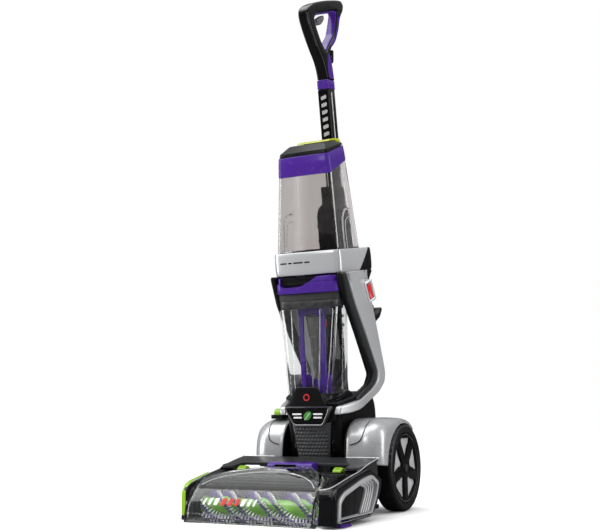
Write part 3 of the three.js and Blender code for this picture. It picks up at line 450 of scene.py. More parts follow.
BLACK = plastic("moulded_black", (0.0050, 0.0050, 0.0058), 0.30, grain=0.3, dust=0.02,
                specular=0.18, wear=0.08)
GLOSS = plastic("gloss_black", (0.0025, 0.0025, 0.0032), 0.12, coat=0.2, grain=0.03,
                dust=0.01, specular=0.22, wear=0.06)
CHARCOAL = plastic("satin_charcoal", (0.020, 0.0205, 0.022), 0.30, grain=0.2, dust=0.03,
                   specular=0.3)
SILVER = paint("silver_paint", "silver_paint", (0.60, 0.605, 0.615), 0.30, 0.55, 0.3)
RIM = plastic("rim_black", (0.0018, 0.0018, 0.0022), 0.22, grain=0.1, dust=0.0,
              specular=0.12, wear=0.03)
WHEEL_SILVER = paint("wheel_silver", "silver_paint", (0.50, 0.50, 0.51), 0.36, 0.25, 0.2)
FENDER_SILVER = paint("fender_silver", "silver_paint", (0.47, 0.475, 0.485), 0.28, 0.50, 0.3)
GRILLE_GREY = plastic("grille_grey", (0.040, 0.041, 0.043), 0.32, grain=0.15, dust=0.03)
PURPLE = plastic("purple_gloss", (0.052, 0.014, 0.205), 0.22, coat=0.15, grain=0.04,
                 dust=0.0, specular=0.22, wear=0.05)
LIME = plastic("lime_gloss", (0.215, 0.410, 0.008), 0.28, coat=0.15, grain=0.1, wear=0.1)
BRUSH_GREEN = plastic("brush_green", (0.110, 0.300, 0.010), 0.34, grain=0.1, wear=0.1)
AMBER = plastic("lime_yellow", (0.46, 0.50, 0.01), 0.30, coat=0.15, grain=0.1, wear=0.1)
CLEAR = see_through("clear_moulding", (0.955, 0.965, 0.965), 0.01, 1.38,
                    (0.93, 0.94, 0.94))
SMOKE = see_through("smoke_moulding", (0.85, 0.84, 0.84), 0.03, 1.42, (0.78, 0.76, 0.76),
                    front=(0.64, 0.615, 0.605))
GREY_TUBE = plastic("grey_tube", (0.11, 0.107, 0.10), 0.20, coat=0.4, grain=0.08)
FROST = see_through("frosted_moulding", (0.97, 0.97, 0.97), 0.45, 1.45, (0.9, 0.9, 0.9))
RED = plastic("red_gloss", (0.50, 0.008, 0.012), 0.18, coat=0.4, grain=0.04)
TYRE = rubber("tyre_tread", (0.0035, 0.0035, 0.0038), 0.40)
RUBBER = rubber("matt_rubber", (0.016, 0.016, 0.017), 0.70)
STEEL = bare_metal("drawn_steel", (0.50, 0.50, 0.52), 0.30)
WHITE_STRANDS = strands("white_strands", (0.78, 0.78, 0.80))
PURPLE_STRANDS = strands("purple_strands", (0.12, 0.040, 0.38))
PRINT_WHITE = plastic("white_print", (0.72, 0.72, 0.72), 0.45, wear=0.0, dust=0.0)
PRINT_RED = plastic("red_print", (0.50, 0.008, 0.008), 0.40, wear=0.0, dust=0.0)
PRINT_GREEN = plastic("green_print", (0.04, 0.24, 0.02), 0.40, wear=0.0, dust=0.0)


# ---------- outlines ----------

def rectangle(left, right, low, high):
    """The corners of a rectangle, from its lower left one."""
    return [(left, low), (right, low), (right, high), (left, high)]


def rounded(corners, radius, steps=5):
    """A closed line through corners (u, v) or (u, v, radius), with each corner rounded."""
    line = []
    for i, corner in enumerate(corners):
        here = Vector(corner[:2])
        reach = corner[2] if len(corner) > 2 else radius
        before = Vector(corners[i - 1][:2]) - here
        after = Vector(corners[(i + 1) % len(corners)][:2]) - here
        start = here + before.normalized() * min(reach, before.length * 0.48)
        end = here + after.normalized() * min(reach, after.length * 0.48)
        for k in range(steps + 1):
            share = k / steps
            line.append(start.lerp(here, share).lerp(here.lerp(end, share), share))
    return line


def smooth_line(points, per_span=6, closed=False):
    """A smooth curve through points, by Catmull and Rom's rule."""
    knots = [Vector(point) for point in points]
    count = len(knots)
    line = []
    for i in range(count if closed else count - 1):
        if closed:
            a, b, c, d = (knots[(i + k) % count] for k in (-1, 0, 1, 2))
        else:
            a, b, c, d = knots[max(i - 1, 0)], knots[i], knots[i + 1], knots[min(i + 2, count - 1)]
        for k in range(per_span):
            t = k / per_span
            bend, twist = 2 * a - 5 * b + 4 * c - d, 3 * b - a - 3 * c + d
            line.append(0.5 * (2 * b + (c - a) * t + bend * t**2 + twist * t**3))
    return line if closed else [*line, knots[-1]]


def offset(points, distance):
    """A closed line moved inwards, or outwards where the distance is negative."""
    area = sum(p[0] * q[1] - q[0] * p[1] for p, q in zip(points, [*points[1:], points[0]]))
    turn = 1 if area > 0 else -1
    moved = []
    for i, point in enumerate(points):
        here = Vector(point[:2])
        into = (here - Vector(points[i - 1][:2])).normalized()
        out = (Vector(points[(i + 1) % len(points)][:2]) - here).normalized()
        middle = Vector((-into.y - out.y, into.x + out.x)) * turn
        moved.append(here + middle * (2 * distance / max(middle.length_squared, 0.4)))
    return moved


def band(path, width):
    """The outline of a flat strip of a width along an open line."""
    left, right = [], []
    for i, point in enumerate(path):
        along = Vector(path[min(i + 1, len(path) - 1)]) - Vector(path[max(i - 1, 0)])
        side = Vector((-along.y, along.x)).normalized() * (width / 2)
        left.append(Vector(point) + side)
        right.append(Vector(point) - side)
    return [*left, *reversed(right)]


def at(line, value):
    """The second number of a line of pairs where the first has a value."""
    for (a, low), (b, high) in zip(line, line[1:]):
        if a <= value <= b:
            return low + (high - low) * (value - a) / max(b - a, 1e-9)
    return line[0][1] if value < line[0][0] else line[-1][1]


# ---------- meshes, in millimetres ----------

SIDE = Matrix(((0, 0, 1, 0), (1, 0, 0, 0), (0, 1, 0, 0), (0, 0, 0, 1)))  # (y, z) outlines
FRONT = Matrix(((1, 0, 0, 0), (0, 0, 1, 0), (0, 1, 0, 0), (0, 0, 0, 1)))  # (x, z) outlines
PLAN = Matrix.Identity(4)  # (x, y) outlines


def tidied(made):
    """A welded mesh with its faces pointing out."""
    bmesh.ops.remove_doubles(made, verts=made.verts, dist=WELD)
    bmesh.ops.dissolve_degenerate(made, edges=made.edges, dist=WELD)
    bmesh.ops.recalc_face_normals(made, faces=made.faces)
    mesh = bpy.data.meshes.new("part")
    made.to_mesh(mesh)
    made.free()
    return mesh


def slab(plane, outline, low, high, edge=0.8, steps=3, holes=()):
    """A flat slab between two heights over an outline, with rolled edges and holes through it."""
    curve = bpy.data.curves.new("slab", "CURVE")
    curve.dimensions = "2D"
    curve.fill_mode = "BOTH"
    curve.extrude = (high - low) / 2 - edge
    curve.bevel_depth = edge
    curve.bevel_resolution = steps
    curve.offset = -edge
    for points in (outline, *holes):
        line = curve.splines.new("POLY")
        line.points.add(len(points) - 1)
        for point, place in zip(line.points, points):
            point.co = (place[0], place[1], 0, 1)
        line.use_cyclic_u = True
    holder = bpy.data.objects.new("slab", curve)
    mesh = bpy.data.meshes.new_from_object(holder)
    bpy.data.objects.remove(holder)
    made = bmesh.new()
    made.from_mesh(mesh)
    made.transform(plane @ Matrix.Translation((0, 0, (low + high) / 2)))
    return tidied(made)


def grid(rows, closed=False, caps=False):
    """A skin over rows of points, joined round if closed, with its two ends capped if asked."""
    made = bmesh.new()
    verts = [[made.verts.new(point) for point in row] for row in rows]
    across = len(rows[0])
    for here, after in zip(verts, verts[1:]):
        for i in range(across if closed else across - 1):
            k = (i + 1) % across
            made.faces.new((here[i], here[k], after[k], after[i]))
    if caps:
        made.faces.new(verts[0])
        made.faces.new(verts[-1])
    return tidied(made)


def vessel(outer, inner):
    """A hollow shell with one open end: outer and inner rings from the closed end to the mouth."""
    return grid([*outer, *reversed(inner)], closed=True, caps=True)


def sleeve(outer, inner):
    """A hollow shell open at both ends."""
    return grid([*outer, *reversed(inner), outer[0]], closed=True)


def lathe(profile, place, segments=64, axis="X", ring=False):
    """A body or an open ring turned about an axis: its profile holds (along the axis, radius) pairs."""
    rows = []
    for along, radius in profile:
        row = []
        for i in range(segments):
            angle = 2 * math.pi * i / segments
            round_one, round_two = radius * math.cos(angle), radius * math.sin(angle)
            spun = {
                "X": (along, round_one, round_two),
                "Y": (round_one, along, round_two),
                "Z": (round_one, round_two, along),
            }[axis]
            row.append(Vector(place) + Vector(spun))
        rows.append(row)
    return grid([*rows, rows[0]] if ring else rows, closed=True, caps=not ring)


def tube(path, radius, sides=10, closed=False):
    """A round bar along a line of points; radius is a number or one for each point."""
    points = [Vector(point) for point in path]
    count = len(points)
    side = None
    rows = []
    for i, point in enumerate(points):
        if closed:
            along = (points[(i + 1) % count] - points[i - 1]).normalized()
        else:
            along = (points[min(i + 1, count - 1)] - points[max(i - 1, 0)]).normalized()
        if side is None:
            side = along.orthogonal().normalized()
        side = (side - along * side.dot(along)).normalized()
        other = along.cross(side)
        thick = radius if isinstance(radius, (int, float)) else radius[i]
        turns = [2 * math.pi * k / sides for k in range(sides)]
        rows.append([point + (side * math.cos(a) + other * math.sin(a)) * thick for a in turns])
    if closed:
        rows.append(rows[0])
    return grid(rows, closed=True, caps=not closed)


def mirrored(mesh):
    """The same part on the other side of the middle plane."""
    made = bmesh.new()
    made.from_mesh(mesh)
    made.transform(Matrix.Scale(-1, 4, (1, 0, 0)))
    return tidied(made)


def placed(side, parts):
    """Parts made for the right side, mirrored if they are for the left."""
    return parts if side == "right" else [mirrored(part) for part in parts]


def moved(mesh, matrix):
    """A part in another place."""
    made = bmesh.new()
    made.from_mesh(mesh)
    made.transform(matrix)
    return tidied(made)


def halved(mesh, point, normal):
    """What is left of a closed part behind a plane."""
    made = bmesh.new()
    made.from_mesh(mesh)
    every = [*made.verts, *made.edges, *made.faces]
    bmesh.ops.bisect_plane(made, geom=every, plane_co=point, plane_no=normal, clear_outer=True)
    bmesh.ops.holes_fill(made, edges=[edge for edge in made.edges if edge.is_boundary])
    return tidied(made)


def sliced(mesh, axis, places):
    """The same part with more edges across an axis, so that it can bend."""
    made = bmesh.new()
    made.from_mesh(mesh)
    normal = Vector([float(axis == name) for name in "xyz"])
    for place in places:
        every = [*made.verts, *made.edges, *made.faces]
        bmesh.ops.bisect_plane(made, geom=every, plane_co=normal * place, plane_no=normal)
    return tidied(made)


def shaped(mesh, move):
    """The part with every point moved by a rule."""
    for vertex in mesh.vertices:
        vertex.co = move(vertex.co)
    return mesh


def carved(mesh, *tools):
    """The part with closed tools cut out of it."""
    body = bpy.data.objects.new("body", mesh)
    bpy.context.scene.collection.objects.link(body)
    cutters = []
    for tool in tools:
        cutter = bpy.data.objects.new("cutter", tool)
        bpy.context.scene.collection.objects.link(cutter)
        modifier = body.modifiers.new("cut", "BOOLEAN")
        modifier.operation = "DIFFERENCE"
        modifier.solver = "EXACT"
        modifier.object = cutter
        cutters.append(cutter)
    graph = bpy.context.evaluated_depsgraph_get()
    made = bmesh.new()
    made.from_mesh(body.evaluated_get(graph).to_mesh())
    for extra in (body, *cutters):
        bpy.data.objects.remove(extra)
    return tidied(made)


def block(x, y, z):
    """A plain box, as a tool to cut with or the heart of a bevelled part."""
    made = bmesh.new()
    bmesh.ops.create_cube(made, size=1)
    size = [high - low for low, high in (x, y, z)]
    middle = [(high + low) / 2 for low, high in (x, y, z)]
    made.transform(Matrix.Translation(middle) @ Matrix.Diagonal((*size, 1)))
    return tidied(made)


def plan_ring(z, front, rear, half, half_rear=None, corner=10, corner_rear=26, bow=0, rise=0, shrink=0):
    """A level section of a moulded body: rounded corners, a bowed front, rising to the rear."""
    half_rear = (half if half_rear is None else half_rear) - shrink
    half, front_in, rear_in = half - shrink, front + shrink, rear - shrink
    corner, corner_rear = max(corner - shrink, 1.5), max(corner_rear - shrink, 3)
    quarters = (
        (half - corner, front_in + corner, corner, -90),
        (half_rear - corner_rear, rear_in - corner_rear, corner_rear, 0),
        (corner_rear - half_rear, rear_in - corner_rear, corner_rear, 90),
        (corner - half, front_in + corner, corner, 180),
    )
    steps, across = 7, 10
    points = []
    for x, y, radius, start in quarters:
        for i in range(steps + 1):
            angle = math.radians(start + 90 * i / steps)
            points.append((x + radius * math.cos(angle), y + radius * math.sin(angle)))
    run = 2 * (half - corner)
    points += [(corner - half + run * i / across, front_in) for i in range(1, across)]
    ring = []
    for x, y in points:
        share = max(0.0, 1 - (x / half) ** 2) * max(0.0, 1 - (y - front) / (rear - front))
        ring.append(Vector((x, y - bow * share, z + rise * (y - front))))
    return ring


def levelled(ring, z):
    """The same section laid flat at a height."""
    return [Vector((point.x, point.y, z)) for point in ring]


# ---------- pieces ----------

def piece(name, parts, material, body, stands_for=(), bevel=0.0, levels=0, angle=38, solid=0.0):
    """A piece of the machine: its parts as one object, in its finish, riding on its body."""
    whole = bmesh.new()
    for part in parts:
        whole.from_mesh(part)
        bpy.data.meshes.remove(part)
    whole.transform(Matrix.Scale(MM, 4))
    if body in LEANING:
        whole.transform(LEANED)
    mesh = bpy.data.meshes.new(name)
    whole.to_mesh(mesh)
    whole.free()
    made = bpy.data.objects.new(name, mesh)
    bpy.context.scene.collection.objects.link(made)
    mesh.materials.append(material)
    mesh.shade_smooth()
    if solid:
        wall = made.modifiers.new("wall", "SOLIDIFY")
        wall.thickness, wall.offset = solid * MM, -1
    if bevel:
        roll = made.modifiers.new("rolled_edges", "BEVEL")
        roll.width, roll.segments, roll.limit_method = bevel * MM, 3, "ANGLE"
        roll.angle_limit = math.radians(angle)
        roll.harden_normals = True
    elif not levels:
        mesh.set_sharp_from_angle(angle=math.radians(angle))
    if levels:
        soft = made.modifiers.new("smooth", "SUBSURF")
        soft.levels = soft.render_levels = levels
    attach(made, body)
    if stands_for:
        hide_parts(*stands_for)
    return made


def screw(place, turn, radius=3.2):
    """A cross-head screw, its head facing up before it is turned and placed."""
    profile = [(-1, radius), (0.6, radius), (1.3, radius * 0.8), (1.5, radius * 0.4)]
    head = lathe(profile, (0, 0, 0), 20, "Z")
    arm = radius * 0.62
    cross = (block((-arm, arm), (-0.4, 0.4), (0.5, 3)), block((-0.4, 0.4), (-arm, arm), (0.5, 3)))
    return moved(carved(head, *cross), Matrix.Translation(place) @ turn)


FACE_RIGHT = Matrix.Rotation(math.pi / 2, 4, "Y")
FACE_REAR = Matrix.Rotation(-math.pi / 2, 4, "X")


# ---------- foot ----------

WINDOW_LEFT, WINDOW_RIGHT = -149, 121
NOZZLE_LINE = [
    (FOOT_FRONT + 0.6, 1.2), (FOOT_FRONT + 2, 16), (FOOT_FRONT + 10, 42), (FOOT_FRONT + 30, 64),
    (FOOT_FRONT + 62, 81), (FOOT_FRONT + 100, 91), (-92, 98),
]
COVER_LINE = [
    (FOOT_FRONT + 9, 4, 5), (FOOT_FRONT + 8, 58, 10), (FOOT_FRONT + 18, 69, 10), (-140, 85, 30),
    (-67, 97, 8), (-9, 76, 9), (-14, 55, 8), (-35, 27, 6), (-53, 13, 8), (-66, 10, 6), (-203, 9, 6),
]
TRIM_LINE = [
    (-213, 10, 6), (-209, 47, 8), (-188, 61, 10), (-98, 81, 20), (-60, 85, 10), (-29, 70, 8),
    (-39, 46, 10), (-67, 12, 6),
]
BRUSH_SPAN = (-129.6, 120.6)


def nozzle_window():
    """The clear nozzle: a curved skin whose plan narrows to the latch, with beaded edges."""
    profile = smooth_line(NOZZLE_LINE, 6)
    left = [(-240, WINDOW_LEFT), (-196, WINDOW_LEFT), (-172, -143), (-140, -118), (-112, -80), (-92, -56)]
    right = [(-240, WINDOW_RIGHT), (-206, WINDOW_RIGHT), (-176, 113), (-140, 92), (-112, 66), (-92, 50)]
    left, right = smooth_line(left, 5), smooth_line(right, 5)
    across = 22
    rows = []
    for y, z in profile:
        low, high = at(left, y), at(right, y)
        rows.append([(low + (high - low) * i / across, y, z) for i in range(across + 1)])
    piece("nozzle_window", [grid(rows)], CLEAR, "window", ["nozzle_window"], solid=2.4)
    inward = 2.2
    edges = []
    for side, shift in ((0, 1.6), (-1, -1.6)):
        line = [(row[side][0] + shift, row[side][1] + inward, row[side][2] - inward) for row in rows[2:]]
        edges.append(tube(line, 2.1, 8))
    lip = slab(SIDE, rounded([(-228.5, 2), (-223, 2), (-221, 9), (-227, 11)], 1.5), -147, 119, 0.5)
    lip_rib = tube([(-146, -226.2, 17), (118, -226.2, 17)], 1.3, 8)
    web = band(smooth_line(NOZZLE_LINE[:5], 5), 13)
    web = [(max(y + 5.5, FOOT_FRONT + 0.6), max(z - 4, 1.0)) for y, z in web if y > FOOT_FRONT - 10]
    ends = [slab(SIDE, web, x, x + 2, 0.4) for x in (WINDOW_LEFT + 1, WINDOW_RIGHT - 3)]
    piece("window_beads", [*edges, lip, lip_rib, *ends], CLEAR, "window")
    heights = profile_pairs(profile)
    funnel = []
    y_high = -96
    for x_low, x_high, y_low in ((84, 44, -150), (60, 30, -138), (100, 46, -172), (-104, -50, -138)):
        line = []
        for i in range(9):
            share = i / 8
            y = y_low + (y_high - y_low) * share
            line.append((x_low + (x_high - x_low) * share**0.8, y, at(heights, y) + 0.6))
        funnel.append(tube(line, 1.5, 8))
    cross = [(x, -100 - 0.0004 * x * x, at(heights, -101) + 0.4) for x in range(-48, 44, 6)]
    arch = []
    for i in range(25):
        share = i / 24
        x = -132 + 236 * share
        y = -196 + 62 * math.sin(math.pi * share) ** 0.8
        arch.append((x, y, at(heights, y) + 0.5))
    piece("window_ribs", [*funnel, tube(cross, 1.4, 8)], CLEAR, "window")
    piece("window_arch", [tube(arch, 0.9, 8)], FROST, "window")


def profile_pairs(profile):
    """A profile with its first number rising, so that a height can be read off it."""
    return sorted((point[0], point[1]) for point in profile)


def window_marks():
    """Plain slanted stripes printed across the clear nozzle."""
    pairs = profile_pairs(smooth_line(NOZZLE_LINE, 6))
    heights = sorted((z, y) for y, z in pairs)

    def printed(outline):
        """A thin mark bent to lie on the nozzle."""
        mesh = slab(FRONT, outline, -0.2, 0.2, 0.1, 1)
        mesh = sliced(mesh, "z", range(28, 60, 4))
        return shaped(mesh, lambda co: Vector((co.x, co.y + at(heights, co.z) - 0.5, co.z)))

    low, high = 34, 46
    lean = (high - low) * 0.35

    def stripe(x, width):
        """A slanted stripe from its left foot."""
        corners = [(x, low), (x + width, low), (x + width + lean, high), (x + lean, high)]
        return printed(rounded(corners, 1.2, 2))

    white = [stripe(*place) for place in ((-112, 4), (-101, 6), (-89, 8), (-32, 8), (-18, 6), (-6, 4))]
    red = [stripe(*place) for place in ((-75, 10), (-60, 10), (-45, 8))]
    piece("window_print_white", white, PRINT_WHITE, "window", angle=60)
    piece("window_print_red", red, PRINT_RED, "window", angle=60)


def brush_hood():
    """The dark cover over the brushes, ribbed along its length."""
    under = [(y, z - 9) for y, z in NOZZLE_LINE[4:]]
    upper = smooth_line([(FOOT_FRONT + 46, 64), *under, (-80, 89)], 5)
    lower = [(y, z - 3) for y, z in reversed(upper)]
    shell = slab(SIDE, [*upper, *lower], BRUSH_SPAN[0], BRUSH_SPAN[1], 0.7, 2)
    ribs = []
    for y in (-176, -163, -150, -137, -124, -111):
        z = at(profile_pairs(upper), y)
        ribs.append(tube([(BRUSH_SPAN[0] + 4, y, z + 0.2), (BRUSH_SPAN[1] - 4, y, z + 0.2)], 1.6, 10))
    lip = slab(SIDE, rounded([(-188, 60), (-182, 58), (-180, 66), (-186, 68)], 2), *BRUSH_SPAN, 0.6)
    piece("brush_hood", [shell, *ribs, lip], BLACK, "base", ["brush_hood"])
    bosses = [lathe([(0, 5), (3, 5), (3.8, 4), (3.8, 2)], (x, -150, 75.5), 24, "Z") for x in (-90, -20, 60)]
    piece("hood_bosses", bosses, CHARCOAL, "base")


TUFT_ROWS = (
    (WHITE_STRANDS, "white_first", 0.10), (PURPLE_STRANDS, "purple_first", 0.16),
    (WHITE_STRANDS, "white_second", 0.42), (PURPLE_STRANDS, "purple_second", 0.48),
)
TUFTS_IN_ROW, STRANDS_IN_TUFT = 52, 12


def brush_roll(name, body, phase):
    """A green core with two low twisted ridges, and eight twisted rows of tufts."""
    y = joints[f"{name}_spin"]["pos_m"][1] / MM
    low, high = BRUSH_SPAN
    core, reach, turns = 14.5, 27.6, 1.5
    rows = []
    slices, sides = 72, 40
    for k in range(slices + 1):
        share = k / slices
        twist = phase + share * turns * 2 * math.pi
        row = []
        for i in range(sides):
            angle = 2 * math.pi * i / sides
            ridge = max(0.0, math.cos(2 * (angle - twist))) ** 0.6
            radius = core + 3.0 * ridge * min(1.0, 12 * share, 12 * (1 - share))
            x = low + 0.4 + (high - low - 0.8) * share
            row.append((x, y + radius * math.cos(angle), BRUSH_Z + radius * math.sin(angle)))
        rows.append(row)
    barrel = grid(rows, closed=True, caps=True)
    ends = [lathe([(x, 17), (x + 3, 17.5), (x + 3.4, 12)], (0, y, BRUSH_Z), 40) for x in (low, high - 3.5)]
    piece(f"{name}_core", [barrel, *ends], BRUSH_GREEN, body, [name], angle=50)
    for shade, label, start in TUFT_ROWS:
        tufts = bmesh.new()
        for row in (0, 1):
            for k in range(TUFTS_IN_ROW):
                share = (k + 0.5) / TUFTS_IN_ROW
                angle = phase + (share * turns + start + row * 0.5) * 2 * math.pi
                x = low + 5 + (high - low - 10) * share
                for _ in range(STRANDS_IN_TUFT):
                    strand(tufts, x, y, angle, core - 1, reach)
        mesh = bpy.data.meshes.new("tufts")
        tufts.to_mesh(mesh)
        tufts.free()
        piece(f"{name}_{label}_tufts", [mesh], shade, body, angle=70)


def prism(made, root, tip):
    """A closed three-sided bar between two triangles of points."""
    root, tip = ([made.verts.new(point) for point in end] for end in (root, tip))
    for i in range(3):
        k = (i + 1) % 3
        made.faces.new((root[i], root[k], tip[k], tip[i]))
    made.faces.new(tip)
    made.faces.new(reversed(root))


def strand(tufts, x, y, angle, root, tip):
    """One bristle of a tuft, from the core outwards, leaning a little its own way."""
    spread_x, spread_turn = random.uniform(-1.4, 1.4), random.uniform(-0.06, 0.06)
    ends = []
    for radius, share, thick in ((root, 0.25, 0.62), (tip - random.uniform(0, 1.0), 1.0, 0.78)):
        turned = angle + spread_turn * share
        outward = Vector((0, math.cos(turned), math.sin(turned)))
        centre = Vector((x + spread_x * share, y, BRUSH_Z)) + outward * radius
        side = Vector((0, -math.sin(turned), math.cos(turned))) * thick
        along = Vector((thick, 0, 0))
        corners = (side, along - side * 0.5, -along - side * 0.5)
        ends.append([centre + corner for corner in corners])
    prism(tufts, *ends)


def belt_cover():
    """The black drive cover on the right, with a bright ring and slanted louvres."""
    inner_face, outer_face = 125.4, 158
    line = rounded(COVER_LINE, 8)
    hole = rounded(TRIM_LINE, 8)
    back = slab(SIDE, line, inner_face, outer_face - 7, 1.5)
    rim = slab(SIDE, line, outer_face - 8, outer_face, 3, 4, [hole])
    piece("belt_cover", [back, rim], GLOSS, "base", ["belt_cover"], angle=50)
    ring = slab(SIDE, offset(hole, -0.4), outer_face - 6, FOOT_HALF - 0.2, 1.2, 3, [offset(hole, 5.6)])
    louvres = []
    for k in range(4):
        shift = -10.5 * k
        top = 76 - 2.2 * k
        path = [(-77, 17), (-60, 40), (-50, 58), (-56, top - 4), (-72, top)]
        path = smooth_line([(y + shift, z) for y, z in path], 6)
        louvres.append(slab(SIDE, band(path, 4.2), outer_face - 7.5, outer_face - 1.5, 1.1))
    piece("belt_cover_trim", [ring, *louvres], SILVER, "base", ["belt_cover_trim"], angle=50)
    panel = slab(SIDE, offset(hole, 0.5), outer_face - 7.4, outer_face - 6.4, 0.3)
    step = [(-196, 20, 4), (-192, 44, 8), (-176, 53, 8), (-134, 62, 6), (-138, 20, 4)]
    raised = slab(SIDE, rounded(step, 6), outer_face - 7, outer_face - 4.5, 1)
    piece("belt_cover_panel", [panel, raised], BLACK, "base")
    screws = [screw((outer_face - 6.2, y, z), FACE_RIGHT, 2.6) for y, z in ((-145, 28), (-150, 60))]
    piece("belt_cover_screws", screws, STEEL, "base")


def left_end():
    """The left end: a dark plate under a lime strip that follows its edge."""
    line = rounded(COVER_LINE, 8)
    plate = slab(SIDE, line, -158, -134.4, 2.5)
    clear_of = [(y + 1.2, z - 3.4) for y, z in smooth_line(NOZZLE_LINE, 5)]
    room = slab(SIDE, [*clear_of, (-92, 160), (-300, 160), (-300, -20), (-228, -20)], -149.6, -130, 0.1, 1)
    piece("left_end_plate", [carved(plate, room)], BLACK, "base", ["left_end_plate"])
    edge = smooth_line([(-221.8, 13), (-222.6, 40), (-221, 59), (-207, 72.5), (-176, 80), (-140, 87)], 6)
    strip = band([(y + 5, z - 5.2 * min(1, max(0, (z - 40) / 40))) for y, z in edge], 11)
    lime = slab(SIDE, strip, -FOOT_HALF + 0.2, -149.8, 2.5, 4)
    piece("left_end_cover", [lime], LIME, "base", ["left_end_cover"], angle=50)
    plug = lathe([(-1.5, 4), (0.4, 4), (0.9, 3), (0.9, 1.6)], (0, 0, 0), 24, "Z")
    turn = Matrix.Translation((-FOOT_HALF + 1.2, -216, 34)) @ Matrix.Rotation(-math.pi / 2, 4, "Y")
    piece("left_end_plug", [moved(plug, turn)], BLACK, "base")
    base_line = [(-222.5, 4), (-222, 13), (-212, 13), (-120, 10), (-120, 4)]
    base = slab(SIDE, rounded(base_line, 2), -160.5, -149.8, 1)
    piece("left_end_base", [base], BLACK, "base")


COVER_RISE = [(-110, 98), (-104, 99), (-62, 104), (-40, 108.5), (-13, 113), (10, 113)]


def foot_cover():
    """The charcoal deck behind the nozzle, with a bright line along its edge."""
    plan = [
        (-150, -3, 6), (-150, -103, 14), (-121, -103, 4), (-118, -62, 8), (118, -62, 8), (121, -103, 4),
        (150, -103, 14), (150, -3, 6), (70, -3, 2), (69, 5, 2), (-69, 5, 2), (-70, -3, 2),
    ]
    deck = slab(PLAN, rounded(plan, 4), -6, 0, 1.2)
    deck = sliced(deck, "y", range(-100, 4, 6))
    deck = shaped(deck, lambda co: Vector((co.x, co.y, co.z + at(COVER_RISE, co.y))))
    skirt = [(-103, 88, 3), (-103, 96, 3), (-62, 101, 12), (-13, 109, 8), (-8, 80, 4)]
    sides = [slab(SIDE, rounded(skirt, 4), x, x + 3, 0.8) for x in (146.5, -149.5)]
    well_line = rounded([(-100, 76), (-100, 96), (-64, 98), (-64, 76)], 2)
    well = [slab(SIDE, well_line, x, x + 2, 0.5) for x in (120, -122)]
    floor = slab(PLAN, rounded(rectangle(-118, 118, -98, -60), 4), 84, 87, 0.6)
    piece("foot_cover", [deck, *sides, *well, floor], CHARCOAL, "base", ["foot_cover"])
    for side, sign in (("right", 1), ("left", -1)):
        front = [(128, -221.5, 66.5), (141, -219.5, 68.5)] if side == "right" else []
        line = [*front, (148.5, -206, 72.8), (150, -140, 86), (150.6, -103, 92.5), (151, -62, 103.5)]
        line += [(151, -13, 112.5), (149, -4, 113.5), (120, -3.6, 113.6), (80, -3.6, 113.6)]
        run = smooth_line([(sign * x, y, z) for x, y, z in line], 5)
        piece(f"deck_line_{side}", [tube(run, 1.1, 8)], SILVER, "base")


FENDER_LINE = [
    (14, 100), (13, 124), (19, 156), (36, 178), (66, 188.5), (105, 190.5), (143, 190), (186, 181),
    (217, 154), (228.4, 122), (228.8, 100),
]
FENDER_CREASE = [
    (112, 65.8, 188.2), (110, 39.8, 180.0), (108, 23.8, 165.4), (104, 16.0, 149), (94, 14.0, 141),
    (80, 13.4, 137),
]
FENDER_INNER, FENDER_OUTER = 70, 146.5
WELL_WALL = 104  # the inner wall of the wheel's well
ARCH = 92.5  # the well's radius


def fender_row(y, z):
    """A section of the fender over one point of its side outline, from inside to the wheel well."""
    out = Vector((y - AXLE_Y, z - AXLE_Z))
    away = out.length
    outer = WELL_WALL + (FENDER_OUTER - WELL_WALL) * max(0.0, min(1.0, (away - ARCH) / 9))
    roll = max(5.0, min(34.0, away - ARCH - 1))
    out.normalize()
    row = [(FENDER_INNER, y - out.x * 9, z - out.y * 9), (FENDER_INNER, y - out.x * 3, z - out.y * 3)]
    row += [(FENDER_INNER + 2.5, y - out.x * 0.6, z - out.y * 0.6)]
    for k in range(1, 7):
        x = 74 + (outer - roll - 74) * k / 6
        crown = 1.6 * math.sin(math.pi * (x - 72) / 68)
        row.append((x, y + out.x * (crown - 1.6), z + out.y * (crown - 1.6)))
    for k in range(1, 9):
        angle = math.pi / 2 * k / 8
        drop = roll * (1 - math.cos(angle)) * 0.9
        x = outer - roll + roll * math.sin(angle)
        row.append((x, y - out.x * (drop + 1.4), z - out.y * (drop + 1.4)))
    start = Vector((y, z)) - out * (roll + 1.4)
    edge = Vector((AXLE_Y, AXLE_Z)) + out * min(ARCH, away - roll - 2)
    for share in (0.5, 1.0):
        side = start.lerp(edge, share)
        row.append((outer, side.x, side.y))
    row.append((outer - 1, edge.x, edge.y - 0.3))
    row.append((min(WELL_WALL, outer - 2), edge.x, edge.y - 0.3))
    return row


def fender(side):
    """A silver cover over a wheel, with a dark pressed line on its front and top."""
    line = smooth_line(FENDER_LINE, 7)
    shell = grid([fender_row(point.x, point.y) for point in line])
    crease = tube(smooth_line(FENDER_CREASE, 6), 1.0, 8)
    wall_line = [(point.x - 1, point.y - 1) for point in smooth_line(FENDER_LINE, 5)]
    wall_line += [(226, 92), (20, 92)]
    wall = slab(SIDE, wall_line, FENDER_INNER - 1.5, FENDER_INNER + 1, 0.5)
    name = f"{side}_fender"
    piece(name, placed(side, [shell]), FENDER_SILVER, "base", [name], solid=2.2, angle=50)
    piece(f"{name}_crease", placed(side, [crease]), BLACK, "base")
    piece(f"{name}_wall", placed(side, [wall]), BLACK, "base")


